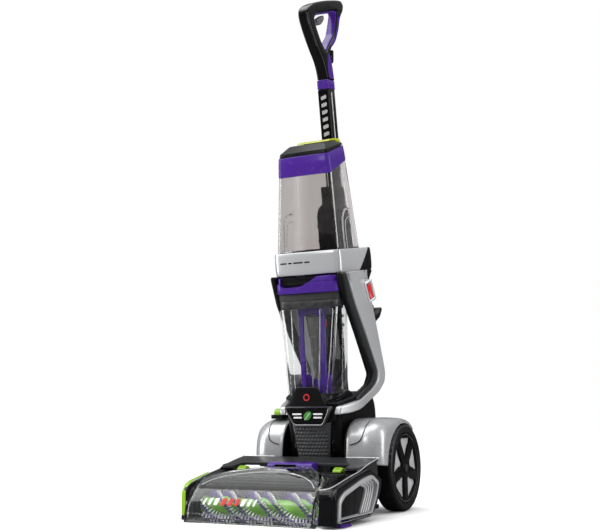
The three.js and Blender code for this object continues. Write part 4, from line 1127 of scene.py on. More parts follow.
def wheel(side):
    """A spoked wheel: grooved tyre, black face with five windows, ribbed silver inserts."""
    body = f"{side}_wheel"
    outer, inner = 151.3, 109.6
    centre = (0, AXLE_Y, AXLE_Z)
    profile = smooth_line(
        [(inner, 73), (inner, 81), (inner + 3, 86), (inner + 9, 87.8), (outer - 9, 87.8), (outer - 3, 86.2),
         (outer, 82), (outer - 0.4, 76), (outer - 1.6, 73)], 4
    )
    segments, grooves, rows = 240, 40, []
    for x, radius in profile:
        row = []
        for i in range(segments):
            turn = i / segments
            in_groove = (turn * grooves + abs(x - 130) / 26) % 1.0 < 0.22
            deep = 1.3 if in_groove and radius > 84.5 else 0.0
            angle = 2 * math.pi * turn
            reach = radius - deep
            row.append((x, AXLE_Y + reach * math.cos(angle), AXLE_Z + reach * math.sin(angle)))
        rows.append(row)
    ring = grid([*rows, rows[0]], closed=True)
    face = outer - 2.4
    circle = [(72.6 * math.cos(a), 72.6 * math.sin(a)) for a in (2 * math.pi * i / 96 for i in range(96))]
    windows = [wheel_window(k) for k in range(5)]
    at_axle = Matrix.Translation(centre)
    plate = moved(slab(SIDE, circle, face - 5, face, 1.2, 3, windows), at_axle)
    lip_line = [(inner + 2, 72.4), (face + 1.2, 72.4), (face + 1.4, 70.2), (face - 1, 69), (inner + 2, 69)]
    lip = lathe(lip_line, centre, 96, ring=True)
    hub_line = [(inner + 2, 16), (face - 2, 16), (face + 0.6, 14), (face + 1.2, 11), (face + 1.2, 6)]
    hub = lathe(hub_line, centre, 48)
    groove_line = [(face - 0.4, 66.5), (face + 0.5, 67.2), (face + 0.5, 68.6), (face - 0.4, 69.2)]
    rim_line = lathe(groove_line, centre, 96, ring=True)
    cap = lathe([(face, 7.5), (face + 1.7, 7.2), (face + 2.1, 5.6), (face + 2.1, 2)], centre, 32)
    back = lathe(rectangle(inner + 3, inner + 6, 69, 14), centre, 64, ring=True)
    inserts = [moved(wheel_insert(k, face - 4.2), at_axle) for k in range(5)]
    rim = placed(side, [plate, lip, hub, back])
    piece(f"{side}_tyre", placed(side, [ring]), TYRE, body, [f"{side}_tyre"], angle=30)
    piece(f"{side}_rim", rim, RIM, body, [f"{side}_rim"], angle=45)
    piece(f"{side}_rim_line", placed(side, [rim_line]), CHARCOAL, body)
    piece(f"{side}_hub_cap", placed(side, [cap]), CHARCOAL, body)
    piece(f"{side}_wheel_inserts", placed(side, inserts), WHEEL_SILVER, body, angle=25)


def wheel_window(k):
    """One of the five openings between the spokes, narrow at the hub and wide at the rim."""
    middle = 2 * math.pi * k / 5 + math.pi / 2
    corners = [(radius, math.radians(half)) for radius, half in ((23, 12), (40, 20), (57, 25.5), (65, 23))]
    line = corners + [(radius, -half) for radius, half in reversed(corners)]
    flat = [(radius * math.cos(middle + a), radius * math.sin(middle + a), 5) for radius, a in line]
    return rounded(flat, 5, 4)


def wheel_insert(k, face):
    """A silver infill pressed in fine arcs and rays."""
    middle = 2 * math.pi * k / 5 + math.pi / 2
    rows = []
    for i in range(100):
        radius = 23 + 44 * i / 99
        half = math.radians(10 + 16.5 * min(1, max(0, (radius - 25) / 33)))
        row = []
        for j in range(41):
            angle = middle - half + 2 * half * j / 40
            groove = max(0.0, math.sin(radius * 1.35 + 7 * abs(angle - middle))) ** 3
            x = face - 1.6 * groove * min(1.0, abs(angle - middle) * 25)
            row.append((x, radius * math.cos(angle), radius * math.sin(angle)))
        rows.append(row)
    return grid(rows)


def nozzle_latch():
    """The purple latch bar, with a hollow under its grip."""
    line = [
        (-87, 90, 2), (-89.5, 97, 3), (-85, 105, 5), (-70, 107, 6), (-61, 105, 3), (-60.6, 96, 2),
        (-66, 90, 2),
    ]
    bar = slab(SIDE, rounded(line, 3), -52, 46, 1.5)
    hollow = slab(FRONT, rounded([(-40, 95), (8, 95), (14, 102), (-34, 102)], 3), -96, -80, 0.5)
    piece("nozzle_latch", [carved(bar, hollow)], PURPLE, "latch", ["nozzle_latch"], angle=45)
    slot = slab(FRONT, rounded([(-39.5, 95.5), (8, 95.5), (13, 101.5), (-34, 101.5)], 3), -81.5, -79, 0.3)
    piece("latch_shadow", [slot], BLACK, "latch")
    rib_line = rounded([(-84, 104.5), (-84, 107), (-66, 107.6), (-66, 105)], 1)
    ribs = [slab(SIDE, rib_line, x, x + 2, 0.5) for x in (20, 26, 32)]
    piece("latch_ribs", ribs, PURPLE, "latch")


def release_tab(name, x):
    """A lime slider with three grip ribs."""
    line = [(-98, 89.4, 1), (-98, 92.5, 2), (-89, 98.5, 3), (-78, 96.5, 2), (-78, 89.4, 1)]
    tab = slab(SIDE, rounded(line, 2), x, x + 18, 1.2)
    ribs = [tube([(x + 3, y, z), (x + 15, y, z)], 0.8, 8) for y,
            z in ((-93, 96.2), (-89, 98.2), (-85, 97.7))]
    piece(name, [tab, *ribs], LIME, name.replace("release_tab", "tab"), [name], angle=45)


def spray_pedal():
    """The lime pedal on the left fender, in its black frame."""
    line = [(47, 195, 2), (47.5, 205, 4), (53, 210, 4), (64, 209, 4), (67, 195, 2)]
    pedal = slab(SIDE, rounded(line, 3), -110, -90, 1.8, 4)
    ribs = []
    for y in (54, 58, 62):
        top = 209.6 - 0.09 * (y - 53)
        ribs.append(tube([(-107, y, top), (-93, y, top)], 0.8, 8))
    piece("spray_pedal", [pedal, *ribs], LIME, "pedal", ["spray_pedal"], angle=45)
    base = slab(PLAN, rounded(rectangle(-115, -85, 42, 72), 5), 189, 197.5, 1.4,
                3, [rounded(rectangle(-110.7, -89.3, 46.3, 67.7), 2)])
    piece("pedal_base", [base], BLACK, "base", ["pedal_base"], angle=45)


def edge_bristles():
    """The row of stiff purple bristles under the right end."""
    made = bmesh.new()
    corners = (Vector((0.5, 0, 0.3)), Vector((-0.35, 0.5, 0)), Vector((-0.35, -0.5, 0)))
    places = 46
    for k in range(places):
        y = -194 + 38.5 * k / (places - 1)
        for shift in (0, 2.4, 4.8, 7.2):
            y_here = y + random.uniform(-0.25, 0.25)
            low = Vector((159.4 - shift + random.uniform(-0.5, 0.6), y_here - 1.6, 0.7))
            high = Vector((152 - shift, y_here, 10.5))
            prism(made, [low + corner for corner in corners], [high + corner for corner in corners])
    mesh = bpy.data.meshes.new("strands")
    made.to_mesh(mesh)
    made.free()
    piece("edge_bristles", [mesh], PURPLE_STRANDS, "base", ["edge_bristles"], angle=70)
    holder = slab(PLAN, rounded(rectangle(138, 153, -196, -154), 2), 8.5, 12, 0.6)
    piece("edge_bristle_holder", [holder], PURPLE, "base")


# ---------- upper body ----------

ARM_FACE = 88
ARM_FRONT = [(68, 502.6), (94, 445), (148, 358), (190, 284), (180, 262), (147, 251), (80, 239)]
ARM_BACK = [
    (23, 236, 4), (17, 221, 4), (50, 219, 12), (83, 221, 20), (183, 240, 14), (217, 256, 8), (226, 277, 12),
    (207, 350, 30), (183, 437, 20), (172, 480, 8), (171, 502.6, 1),
]
TRIM_INNER = [(66, 244), (138, 263), (158, 282), (92, 404), (52, 478), (50, 502.6)]


def turned_in(mesh):
    """The lower end of an arm bends in towards the badge."""
    mesh = sliced(mesh, "y", range(20, 90, 6))

    def bend(co):
        """Moves the points in, the more the nearer they are to the front."""
        share = min(1.0, max(0.0, (86 - co.y) / 69))
        return Vector((co.x - (21 * share**1.4 if co.z < 300 else 0), co.y, co.z))

    return shaped(mesh, bend)


def arm(side):
    """A silver side arm, with a dark trim round its opening: charcoal where light falls on its front-facing
    bevel, as painted light, and a black lining on its inner face, as painted shade.
    """
    front = [(*point, radius) for point, radius in zip(ARM_FRONT, (1, 30, 40, 14, 10, 14, 10))]
    plate = turned_in(slab(SIDE, rounded([*front, *ARM_BACK], 8), 75, ARM_FACE, 3, 4))
    edge = [(y - 0.7, z) if i < 4 else (y, z + 0.7) for i, (y, z) in enumerate(ARM_FRONT)]
    pairs = [(52, 502.6), (70, 441), (122, 352), (168, 284), (160, 271), (142, 262), (74, 247)]
    middle = [(y + 3, z) for y, z in pairs]
    trim_line = [*[(y, z, 12) for y, z in edge], *[(y, z, 10) for y, z in reversed(middle)]]
    trim = turned_in(slab(SIDE, rounded(trim_line, 8), 73, 85, 2.0, 3))
    shaded_face_line = [*[(y - 1, z, 10) for y, z in middle], *[(y, z, 8) for y, z in TRIM_INNER]]
    lining = turned_in(slab(SIDE, rounded(shaded_face_line, 8), 71.2, 79, 1.5, 3))
    if side == "right":
        plate = carved(plate, switch_tile(5.9, 17.9, 80, 92))
    piece(f"{side}_arm", placed(side, [plate]), SILVER, "upper_body", [f"{side}_arm"], angle=45)
    # Charcoal trim: painted light, the lit front-facing bevel of a dark trim.
    piece(f"{side}_arm_trim", placed(side, [trim]), CHARCOAL, "upper_body", [f"{side}_arm_trim"], angle=45)
    # Black lining: painted shade, the shadowed inner face of the trim.
    piece(f"{side}_arm_shaded_lining", placed(side, [lining]), BLACK, "upper_body", angle=45)
    seam_line = [(ARM_FACE - 0.3, 150, 497), (ARM_FACE - 0.1, 163, 505), (ARM_FACE - 0.2, 172, 507)]
    seam = tube(seam_line, 0.7, 8)
    face_in = FACE_RIGHT @ Matrix.Rotation(math.pi, 4, "Y")
    screws = [screw((76, y, z), face_in, 3) for y, z in ((196, 300), (176, 420))]
    piece(f"{side}_arm_seam", placed(side, [seam]), BLACK, "upper_body")
    piece(f"{side}_arm_screws", placed(side, screws), STEEL, "upper_body")


SWITCH_PLACE = Matrix.Translation((0, 163, 457)) @ Matrix.Rotation(0.4, 4, "X")


def switch_tile(wide, long, low, high, hole=None, edge=0.4):
    """A rounded tile in the side face, turned with the power switch."""
    line = rounded(rectangle(-wide, wide, -long, long), 3)
    holes = []
    if hole:
        hole_wide, hole_long = hole
        holes = [rounded(rectangle(-hole_wide, hole_wide, -hole_long, hole_long), 2)]
    return moved(slab(SIDE, line, low, high, edge, 3, holes), SWITCH_PLACE)


def power_switch():
    """The red rocker in its silver bezel, on the right arm."""
    def faced_forward(mesh):
        """Leans the outer side of a tile so that it faces partly to the front."""
        def lean(co):
            """Moves the outer points out, the more the nearer they are to the top."""
            flat = SWITCH_PLACE.inverted() @ co
            flat.x += 0.44 * (flat.y + 9) if flat.x > 86 else 0
            return SWITCH_PLACE @ flat

        return shaped(mesh, lean)

    bezel = faced_forward(switch_tile(10.5, 24, 84.5, 91, (6, 18), 1.4))
    piece("switch_bezel", [bezel], SILVER, "upper_body", ["switch_bezel"], angle=45)
    shadow = faced_forward(switch_tile(7.6, 20, 84, 88.6, (6.1, 18.1), 0.3))
    piece("switch_shadow", [shadow], BLACK, "upper_body")
    rocker = switch_tile(5, 17, 83.5, 91.6, None, 1.6)

    def dished(co):
        """Hollows the face of the rocker a little along its length."""
        flat = SWITCH_PLACE.inverted() @ co
        flat.x -= (1 - (flat.z / 17) ** 2) * 1.4 if flat.x > 86 else 0
        return SWITCH_PLACE @ flat

    rocker = faced_forward(shaped(sliced(rocker, "z", range(440, 476, 3)), dished))
    piece("power_rocker", [rocker], RED, "rocker", ["power_rocker"], angle=45)


CLEAN_LOW, BAND_LOW, BAND_TOP = 520, 708, 749  # heights of the clean tank's foot and of its purple band


def clean_ring(z, shrink=0.0, rise=0.0, **extra):
    """A section of the clean tank, which narrows towards its top."""
    share = (z - CLEAN_LOW) / (BAND_LOW - CLEAN_LOW)
    size = {
        "front": 64 + 20 * share, "rear": 188, "half": 72 - 11 * share, "half_rear": 78 - 17 * share,
        "corner": 8, "corner_rear": 30, "bow": 4, "shrink": shrink, "rise": rise,
    }
    size.update(extra)
    return plan_ring(z, **size)


def collar():
    """The silver collar that carries the clean tank, cut off at a slant at the rear."""
    size = {"front": 59, "rear": 218, "half": 76, "half_rear": 90, "corner": 13, "corner_rear": 34, "bow": 6}
    levels = [
        (503, 1.6), (504.4, 0.4), (506, 0), (515, -0.6), (530, -0.8), (543, -0.2), (547.5, 0.4), (549.4, 1.5),
    ]
    outer = [plan_ring(z, **{**size, "shrink": shrink}) for z, shrink in levels]
    mouth = clean_ring(CLEAN_LOW, -1.4)
    ring = sleeve(outer, [levelled(mouth, z) for z in (503.6, 549.8)])
    cut_place, cut_normal = (0, 160, 526), Vector((0, 0.74, -0.67))
    piece("collar", [halved(ring, cut_place, cut_normal)], SILVER, "upper_body", ["collar"], angle=40)
    low = [
        plan_ring(z, 59, 218 - gone * 0.6, 76, 90 - gone, 10, 34)
        for z, gone in ((440, 34), (446, 26), (460, 18), (480, 7), (498, 0.5))
    ]
    shell = sleeve([*low, *outer], [levelled(mouth, z) for z in (441, 549.8)])
    rear = halved(shell, (0, 160.8, 525.3), -cut_normal)
    rear = halved(rear, (0, 146, 0), (0, -1, 0))
    piece("rear_shell", [rear], BLACK, "upper_body", ["rear_housing"], angle=40)
    seat = plan_ring(516, 66, 184, 70, 76, 8, 28, 4)
    floor = grid([seat, levelled(seat, 519.4)], closed=True, caps=True)
    piece("tank_seat", [floor], BLACK, "upper_body")
    seam = [(74.5, 62.4, 504), (75.4, 62.0, 520), (75.2, 62.2, 540), (74, 63, 549.6)]
    piece("collar_seam", [tube(seam, 0.5, 6)], CHARCOAL, "upper_body")
    dashes = []
    for x, width in ((-58, 16), (-38, 8), (-26, 22), (0, 12)):
        dashes.append(slab(FRONT, rounded(rectangle(x, x + width, 527, 530), 1.2), -0.3, 0.3, 0.15, 1))

    def bowed(co):
        """Lays a flat mark on the bowed front of the collar."""
        return Vector((co.x, 52.0 + 6.4 * (co.x / 75) ** 2 + co.y, co.z))

    piece("collar_marks", [shaped(mark, bowed) for mark in dashes], BLACK, "upper_body")
    under = slab(FRONT, rounded(rectangle(-68, 68, 499.5, 505), 2), 60, 70, 0.8)
    catch = slab(FRONT, rounded(rectangle(-22, -2, 500, 504.5), 1), 55, 62, 0.6)
    piece("collar_underside", [under], BLACK, "upper_body")
    piece("lid_catch", [catch], CHARCOAL, "upper_body")


FLARE_ROWS = [(118, 66, 30), (135, 64, 26), (155, 60, 24), (175, 56, 24), (198, 54, 26), (218, 54, 30)]


def rear_body():
    """The black lower housing, the spine behind the clean tank, and the column behind the dirty tank."""
    line = [
        (34, 132, 6), (98, 124, 10), (118, 104, 8), (121, 78, 4), (165, 77, 8), (170, 100, 12),
        (197, 118, 16),
        (217, 150, 20), (224, 186, 20), (222, 214, 14), (205, 240, 8), (150, 242, 4), (34, 242, 4),
    ]
    lower = slab(SIDE, rounded(line, 8), -60, 60, 9, 5)
    vent = [block((-28, 28), (205, 240), (z, z + 3.2)) for z in range(162, 196, 7)]
    lower = carved(lower, *vent)
    piece("lower_housing", [lower], BLACK, "upper_body", angle=45)
    shadow = slab(SIDE, rounded([(150, 155), (214, 155), (216, 200), (150, 200)], 4), -30, 30, 0.5)
    piece("vent_shadow", [shadow], BLACK, "upper_body")
    flares = []
    for sign in (1, -1):
        rows = []
        for z, out, front in FLARE_ROWS:
            rows.append([
                (sign * 34, front + 3, z), (sign * (34 + (out - 34) * 0.4), front + 4.5, z),
                (sign * (34 + (out - 34) * 0.75), front + 9, z), (sign * out, front + 19, z),
                (sign * (out + 1.5), front + 34, z), (sign * (out + 1), 70, z), (sign * (out - 8), 72, z),
                (sign * 34, 40, z),
            ])
        flares.append(grid(rows, closed=True, caps=True))
    piece("neck_flares", flares, GLOSS, "upper_body", levels=2)
    spine = slab(FRONT, rounded(rectangle(-15, 15, 500, 689), 2), 192, 257, 4, 3)
    boss_line = [
        (-29, 500, 3), (29, 500, 3), (29, 622, 3), (26, 642, 14), (10, 654, 12), (-10, 654, 12),
        (-26, 642, 14),
        (-29, 622, 3),
    ]
    boss = slab(FRONT, rounded(boss_line, 6), 191, 246, 3, 3)
    rings = [slab(FRONT, rounded(rectangle(-30, 30, z, z + 4), 1), 190.2, 240, 0.8) for z in (600, 566)]
    nose = lathe([(180, 9), (189, 12), (192, 12)], (0, 0, 636), 32, "Y")
    piece("spine", [spine, boss, *rings, nose], GLOSS, "upper_body", angle=45)
    column = slab(FRONT, rounded(rectangle(-24, 24, 236, 470), 4), 137, 168, 4, 3)
    ribs = [slab(FRONT, rounded(rectangle(-27, 27, z, z + 7), 3), 134.5, 172, 2) for z in (384, 404, 424)]
    link = slab(FRONT, rounded([(-40, 442), (40, 442), (52, 500), (-52, 500)], 6), 137, 160, 3)
    piece("tank_column", [column, *ribs, link], GLOSS, "upper_body", angle=45)
    saddle_line = [(60, 238, 4), (66, 254, 6), (118, 256, 8), (134, 246, 8), (134, 238, 2)]
    saddle = slab(SIDE, rounded(saddle_line, 4), -48, 48, 3, 3)
    piece("tank_saddle", [saddle], BLACK, "upper_body", angle=45)
    screws = [screw((x, y, z), FACE_REAR) for x, y, z in ((10, 257, 520), (-10, 257, 520), (0, 257, 660))]
    screws += [screw((x, 222.8, 178), FACE_REAR) for x in (-44, 44)]
    piece("rear_screws", screws, STEEL, "upper_body")
    seam = rounded([(y, z) for y, z, _ in line[4:11]], 10)
    seams = [tube([(x, y, z) for y, z in seam if z > 92], 0.7, 6) for x in (-38, 38)]
    piece("rear_seams", seams, CHARCOAL, "upper_body")


GRILLE_LOW, GRILLE_TOP, PIT_PITCH = 120, 204, 7.2


def neck_half(z):
    """Half the width of the neck at a height."""
    return 33 + 10 * (z - GRILLE_LOW) / (GRILLE_TOP - GRILLE_LOW)


def neck_front(x, half):
    """How far forward the neck's bowed face lies."""
    return 20.5 - 3.2 * (1 - (x / half) ** 2)


def neck_grille():
    """The dimpled neck between the badge and the foot, with a black sheet in every dimple as painted shade.
    """
    rows = []
    tall, wide = 84, 72
    for k in range(tall + 1):
        z = GRILLE_LOW + (GRILLE_TOP - GRILLE_LOW) * k / tall
        half = neck_half(z)
        line = round(z / PIT_PITCH)
        row = []
        for i in range(wide + 1):
            x = -half + 2 * half * i / wide
            y = neck_front(x, half) + 5 * max(0, abs(x / half) - 0.86) / 0.14
            across = x - (PIT_PITCH / 2 if line % 2 else 0)
            away = math.hypot(across - PIT_PITCH * round(across / PIT_PITCH), z - PIT_PITCH * line)
            inside = abs(x) < half - 4 and 124 < z < 200
            deep = 3.4 * max(0.0, 1 - (away / 3.0) ** 2) if inside else 0.0
            row.append((x, y + deep, z))
        rows.append(row)
    piece("neck_grille", [grid(rows)], GRILLE_GREY, "upper_body", ["neck_grille"], solid=2.0, angle=60)
    # Black sheets in the dimples: painted shade where the dimples lie deep.
    pit_shades = []
    pit_line = [(-2.4, 0), (-1.4, 2.1), (1.4, 2.1), (2.4, 0), (0, -2.6)]
    for line in range(17, 29):
        z = PIT_PITCH * line
        half = neck_half(z)
        for k in range(-7, 8):
            x = PIT_PITCH * k + (PIT_PITCH / 2 if line % 2 else 0)
            if abs(x) < half - 5 and 125 < z < 199:
                y = neck_front(x, half)
                around = [(x + across, z + up) for across, up in pit_line]
                pit_shades.append(slab(FRONT, around, y + 0.5, y + 1.6, 0.1))
    piece("grille_pit_shade", pit_shades, RIM, "upper_body")
    sides = []
    for sign in (1, -1):
        edge = [(sign * 33.5, 24.5, 121), (sign * 38.5, 24.5, 162), (sign * 43.5, 24.5, 203)]
        sides.append(tube(edge, 1.4, 8))
    piece("neck_edges", sides, BLACK, "upper_body")


BADGE_LINE = [(-31, 203), (31, 203), (48, 236), (-48, 236)]


def badge():
    """The black bucket-shaped badge with a bright edge and a plain leaf emblem."""
    panel = slab(FRONT, rounded(BADGE_LINE, 6), 8.2, 32, 1.5, 3)
    rim_outer = rounded(offset(BADGE_LINE, -3.4), 8)
    rim = slab(FRONT, rim_outer, 7, 24, 1.3, 3, [rounded(offset(BADGE_LINE, -0.3), 6)])
    rim = halved(rim, (0, 0, 236.6), (0, 0, 1))
    piece("badge_panel", [panel], GLOSS, "upper_body", ["badge_panel"], angle=45)
    piece("badge_trim", [rim], STEEL, "upper_body", ["badge_trim"], angle=45)
    leaf = smooth_line([(-7, 213), (-8, 221), (-1, 228), (8, 228), (8, 219), (1, 212)], 6, True)
    vein = band(smooth_line([(-7, 212), (0, 219.5), (6, 226)], 4), 1.2)
    piece("badge_leaf", [slab(FRONT, leaf, 7.5, 8.6, 0.3)], PRINT_GREEN, "upper_body")
    bars = [slab(FRONT, vein, 7.1, 8.0, 0.2)]
    for left, right, low in ((-34, -13, 222), (-32, -13, 215), (13, 34, 222), (13, 32, 215)):
        bars.append(slab(FRONT, rounded(rectangle(left, right, low, low + 3.4), 1.6), 7.5, 8.6, 0.3))
    piece("badge_bars", bars, PRINT_WHITE, "upper_body")
    backing_line = [(-54, 206), (-36, 200), (36, 200), (54, 206), (50, 236), (-50, 236)]
    backing = slab(FRONT, rounded(backing_line, 8), 25, 36, 2)
    piece("badge_backing", [backing], BLACK, "upper_body")


def cord_hooks():
    """The fixed lower cord hook and the upper one, which swivels."""
    lower = [
        (187.4, 424, 2), (197.8, 386, 5), (230, 396, 6), (246, 412, 4), (241, 418, 4), (226, 405, 8),
        (204, 402, 5),
        (199, 426, 2),
    ]
    piece("cord_hook_lower", [slab(SIDE, rounded(lower, 3), 66, 84, 1.8)], BLACK, "upper_body",
          ["cord_hook_lower"], angle=45)
    upper = [
        (250.5, 965, 2), (250.5, 981, 4), (261, 982, 5), (267, 998, 3), (274, 996, 3), (269, 970, 6),
        (262, 965, 5),
    ]
    piece("cord_hook_upper", [slab(SIDE, rounded(upper, 3), -8, 8, 1.8)], BLACK, "cord_hook",
          ["cord_hook_upper"], angle=45)


# ---------- dirty tank ----------

DIRTY_LOW, DIRTY_TOP = 246, 462


def dirty_ring(z, shrink=0.0, **extra):
    """A section of the dirty tank, which widens towards its top."""
    share = (z - DIRTY_LOW) / (DIRTY_TOP - DIRTY_LOW)
    size = {
        "front": 20 + 30 * share, "rear": 132, "half": 47 + 20 * share, "half_rear": 47 + 18 * share,
        "corner": 13, "corner_rear": 30, "bow": 5, "shrink": shrink,
    }
    size.update(extra)
    return plan_ring(z, **size)


def dirty_tank():
    """The clear tank that holds the dirty water, with its rim and two raised side ribs."""
    heights = [DIRTY_LOW, 247, 249, 254, 290, 330, 370, 410, 440, 460, DIRTY_TOP]
    soften = [4, 2, 0.8, 0, 0, 0, 0, 0, 0, 0, 0.5]
    outer = [dirty_ring(z, gone) for z, gone in zip(heights, soften)]
    wall = 2.6
    inside = ((249.5, 4), (251, 2), (256, 0.4), (330, 0), (410, 0), (DIRTY_TOP, 0))
    inner = [dirty_ring(z, wall + gone) for z, gone in inside]
    piece("dirty_tank_shell", [vessel(outer, inner)], CLEAR, "dirty_tank", ["dirty_tank_shell"], angle=40)
    ribs = []
    for sign in (1, -1):
        ribs.append(tube([(sign * 43, 18.6, 262), (sign * 53, 33, 350), (sign * 60.5, 43, 432)], 1.3, 8))
        ribs.append(tube([(sign * 26, 14.4, 262), (sign * 30, 27.6, 350), (sign * 33, 39.6, 432)], 0.9, 8))
    foot = grid([dirty_ring(248, -0.6), dirty_ring(252, -0.8), dirty_ring(256, -0.4)], closed=True)
    piece("dirty_tank_ribs", [*ribs, foot], CLEAR, "dirty_tank")
    low_rows = ((434, -0.7), (435, -1.4), (449, -1.6), (450, -0.8))
    low_hole = [dirty_ring(434.2, 0.3), dirty_ring(449.8, 0.3)]
    low_band = sleeve([dirty_ring(z, shrink) for z, shrink in low_rows], low_hole)
    piece("dirty_tank_band", [low_band], CHARCOAL, "dirty_tank", angle=40)
    top_rows = ((450.4, -0.6), (451, -1.6), (464, -1.8), (465.4, -0.8))
    top_hole = [dirty_ring(451, 0.3), dirty_ring(462, 0.3)]
    top_band = sleeve([dirty_ring(z, shrink) for z, shrink in top_rows], top_hole)
    piece("dirty_tank_gasket", [top_band], RUBBER, "dirty_tank", angle=40)


def tank_lid():
    """The purple lid: a deep rim with a dark grip recess across its front."""
    def ring(z, shrink=0.0):
        """A section of the lid."""
        return plan_ring(z, 46.0, 134, 70, 68, 13, 28, 7, 0, shrink)

    lower_rows = ((465.6, 2), (466.4, 0.6), (468, 0), (480, -0.4), (486, 0), (487, 1.6))
    upper_rows = ((486, 4), (494, 3.4), (498, 4.4), (499, 7))
    body = grid([ring(*row) for row in lower_rows], closed=True, caps=True)
    upper = grid([ring(*row) for row in upper_rows], closed=True, caps=True)
    recess = [
        (-58, 484, 4), (-50, 478, 6), (-4, 480, 10), (16, 492, 8), (30, 499, 2), (30, 520, 1), (-58, 520, 1),
    ]
    hollow = slab(FRONT, rounded(recess, 4), 20, 68, 0.3, 1)
    lid = carved(body, slab(FRONT, rounded(recess, 4), 20, 66, 0.3, 1))
    ridge = carved(upper, hollow, block((-90, 90), (84, 150), (480, 520)))
    piece("dirty_tank_lid", [lid], PURPLE, "dirty_tank", ["dirty_tank_lid"], bevel=0.9, angle=32)
    piece("lid_front_ridge", [ridge], PURPLE, "dirty_tank", bevel=1.2, angle=32)
    well_line = [(-57, 485, 4), (-49, 479, 6), (-5, 481, 10), (14, 492, 8), (26, 498, 2), (-57, 498, 1)]
    well = slab(FRONT, rounded(well_line, 4), 53, 68, 0.5)
    piece("lid_recess", [well], BLACK, "dirty_tank")
    cover = slab(PLAN, rounded([(-56, 70), (56, 70), (60, 128), (-60, 128)], 10), 486.5, 497, 2.5, 4)
    piece("lid_cover", [cover], BLACK, "dirty_tank", angle=45)


def tank_insides():
    """The purple frame, the stepped grey tube, the cups at the foot and the float."""
    head_line = [
        (-29, 446, 3), (29, 446, 3), (28, 420, 4), (22, 414, 8), (0, 425, 16), (-22, 414, 8), (-28, 420, 4),
    ]
    head = slab(FRONT, rounded(head_line, 4), 58, 104, 2.5)

    def leaned(co):
        """Tilts a leg back towards its top."""
        return Vector((co.x, co.y + 50 + 0.11 * (co.z - 272), co.z))

    legs = []
    for sign in (1, -1):
        path = smooth_line([(sign * 24, 430), (sign * 24.5, 380), (sign * 23, 320), (sign * 22, 272)], 6)
        leg = slab(FRONT, band(path, 10), -3.5, 3.5, 1.2)
        legs.append(shaped(sliced(leg, "z", range(280, 430, 20)), leaned))
    cup = lathe([(254, 15), (256, 17), (282, 16), (284, 14.6), (283, 13), (258, 13)], (0, 84, 0), 40, "Z")
    side_line = [(256, 9.5), (258, 11), (292, 11.5), (293, 10.5), (262, 9)]
    side_cups = [lathe(side_line, (x, 66, 0), 28, "Z") for x in (24, -24)]
    piece("tank_inner_frame", [head, *legs, cup, *side_cups], PURPLE, "dirty_tank", ["tank_inner_frame"],
          angle=45)
    profile = [
        (252, 10), (252, 12), (300, 12), (302, 13.6), (330, 13.6), (333, 15.4), (372, 15.4), (376, 17.6),
        (400, 19), (414, 20.5), (416, 19), (440, 13), (441, 10.5),
    ]
    funnel = lathe(profile, (0, 84, 0), 56, "Z")
    collar_ring = lathe([(370, 16), (371, 18), (375, 18), (376, 16)], (0, 84, 0), 48, "Z")
    piece("stack_tube", [funnel, collar_ring], GREY_TUBE, "dirty_tank", ["stack_tube"], angle=35)
    low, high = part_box("float_valve")
    centre = LEANED.inverted() @ ((low + high) / 2)
    place = (centre.x / MM, centre.y / MM, centre.z / MM)
    body = lathe([(-10, 5), (-9, 7.5), (4, 8.5), (8, 7), (11, 3)], place, 32, "Z")
    piece("float_valve", [body], RED, "float_body", ["float_valve"], angle=35)


def tank_plate():
    """The dark plate on the tank's foot, with a plain red ring."""
    line = rounded([(-43, 239), (43, 239), (24, 277), (-24, 277)], 5)

    def leaned(co):
        """Lays a flat mark on the leaning, bowed front of the tank."""
        return Vector((co.x, co.y + 0.139 * (co.z - DIRTY_LOW) + 0.9 * (co.x / 30) ** 2, co.z))

    panel = shaped(sliced(slab(FRONT, line, 9, 14, 1.2), "x", range(-36, 42, 12)), leaned)
    piece("tank_plate", [panel], BLACK, "dirty_tank", ["tank_plate"], angle=45)
    circle = [(7 * math.cos(a), 257 + 7 * math.sin(a)) for a in (math.pi * i / 24 for i in range(48))]
    ring = shaped(slab(FRONT, circle, 8.2, 9.6, 0.4, 3, [offset(circle, 2.4)]), leaned)
    piece("tank_plate_ring", [ring], PRINT_RED, "dirty_tank")


# ---------- clean tank ----------

CLEAN_RIBS = (
    ([(70.5, 104, 534), (68.5, 106, 600), (67.8, 114, 622), (67.6, 128, 632), (67.8, 150, 634)], 2.0, 10),
    ([(70.8, 116, 534), (69, 118, 594), (68.6, 126, 612), (68.4, 146, 618)], 1.3, 8),
)


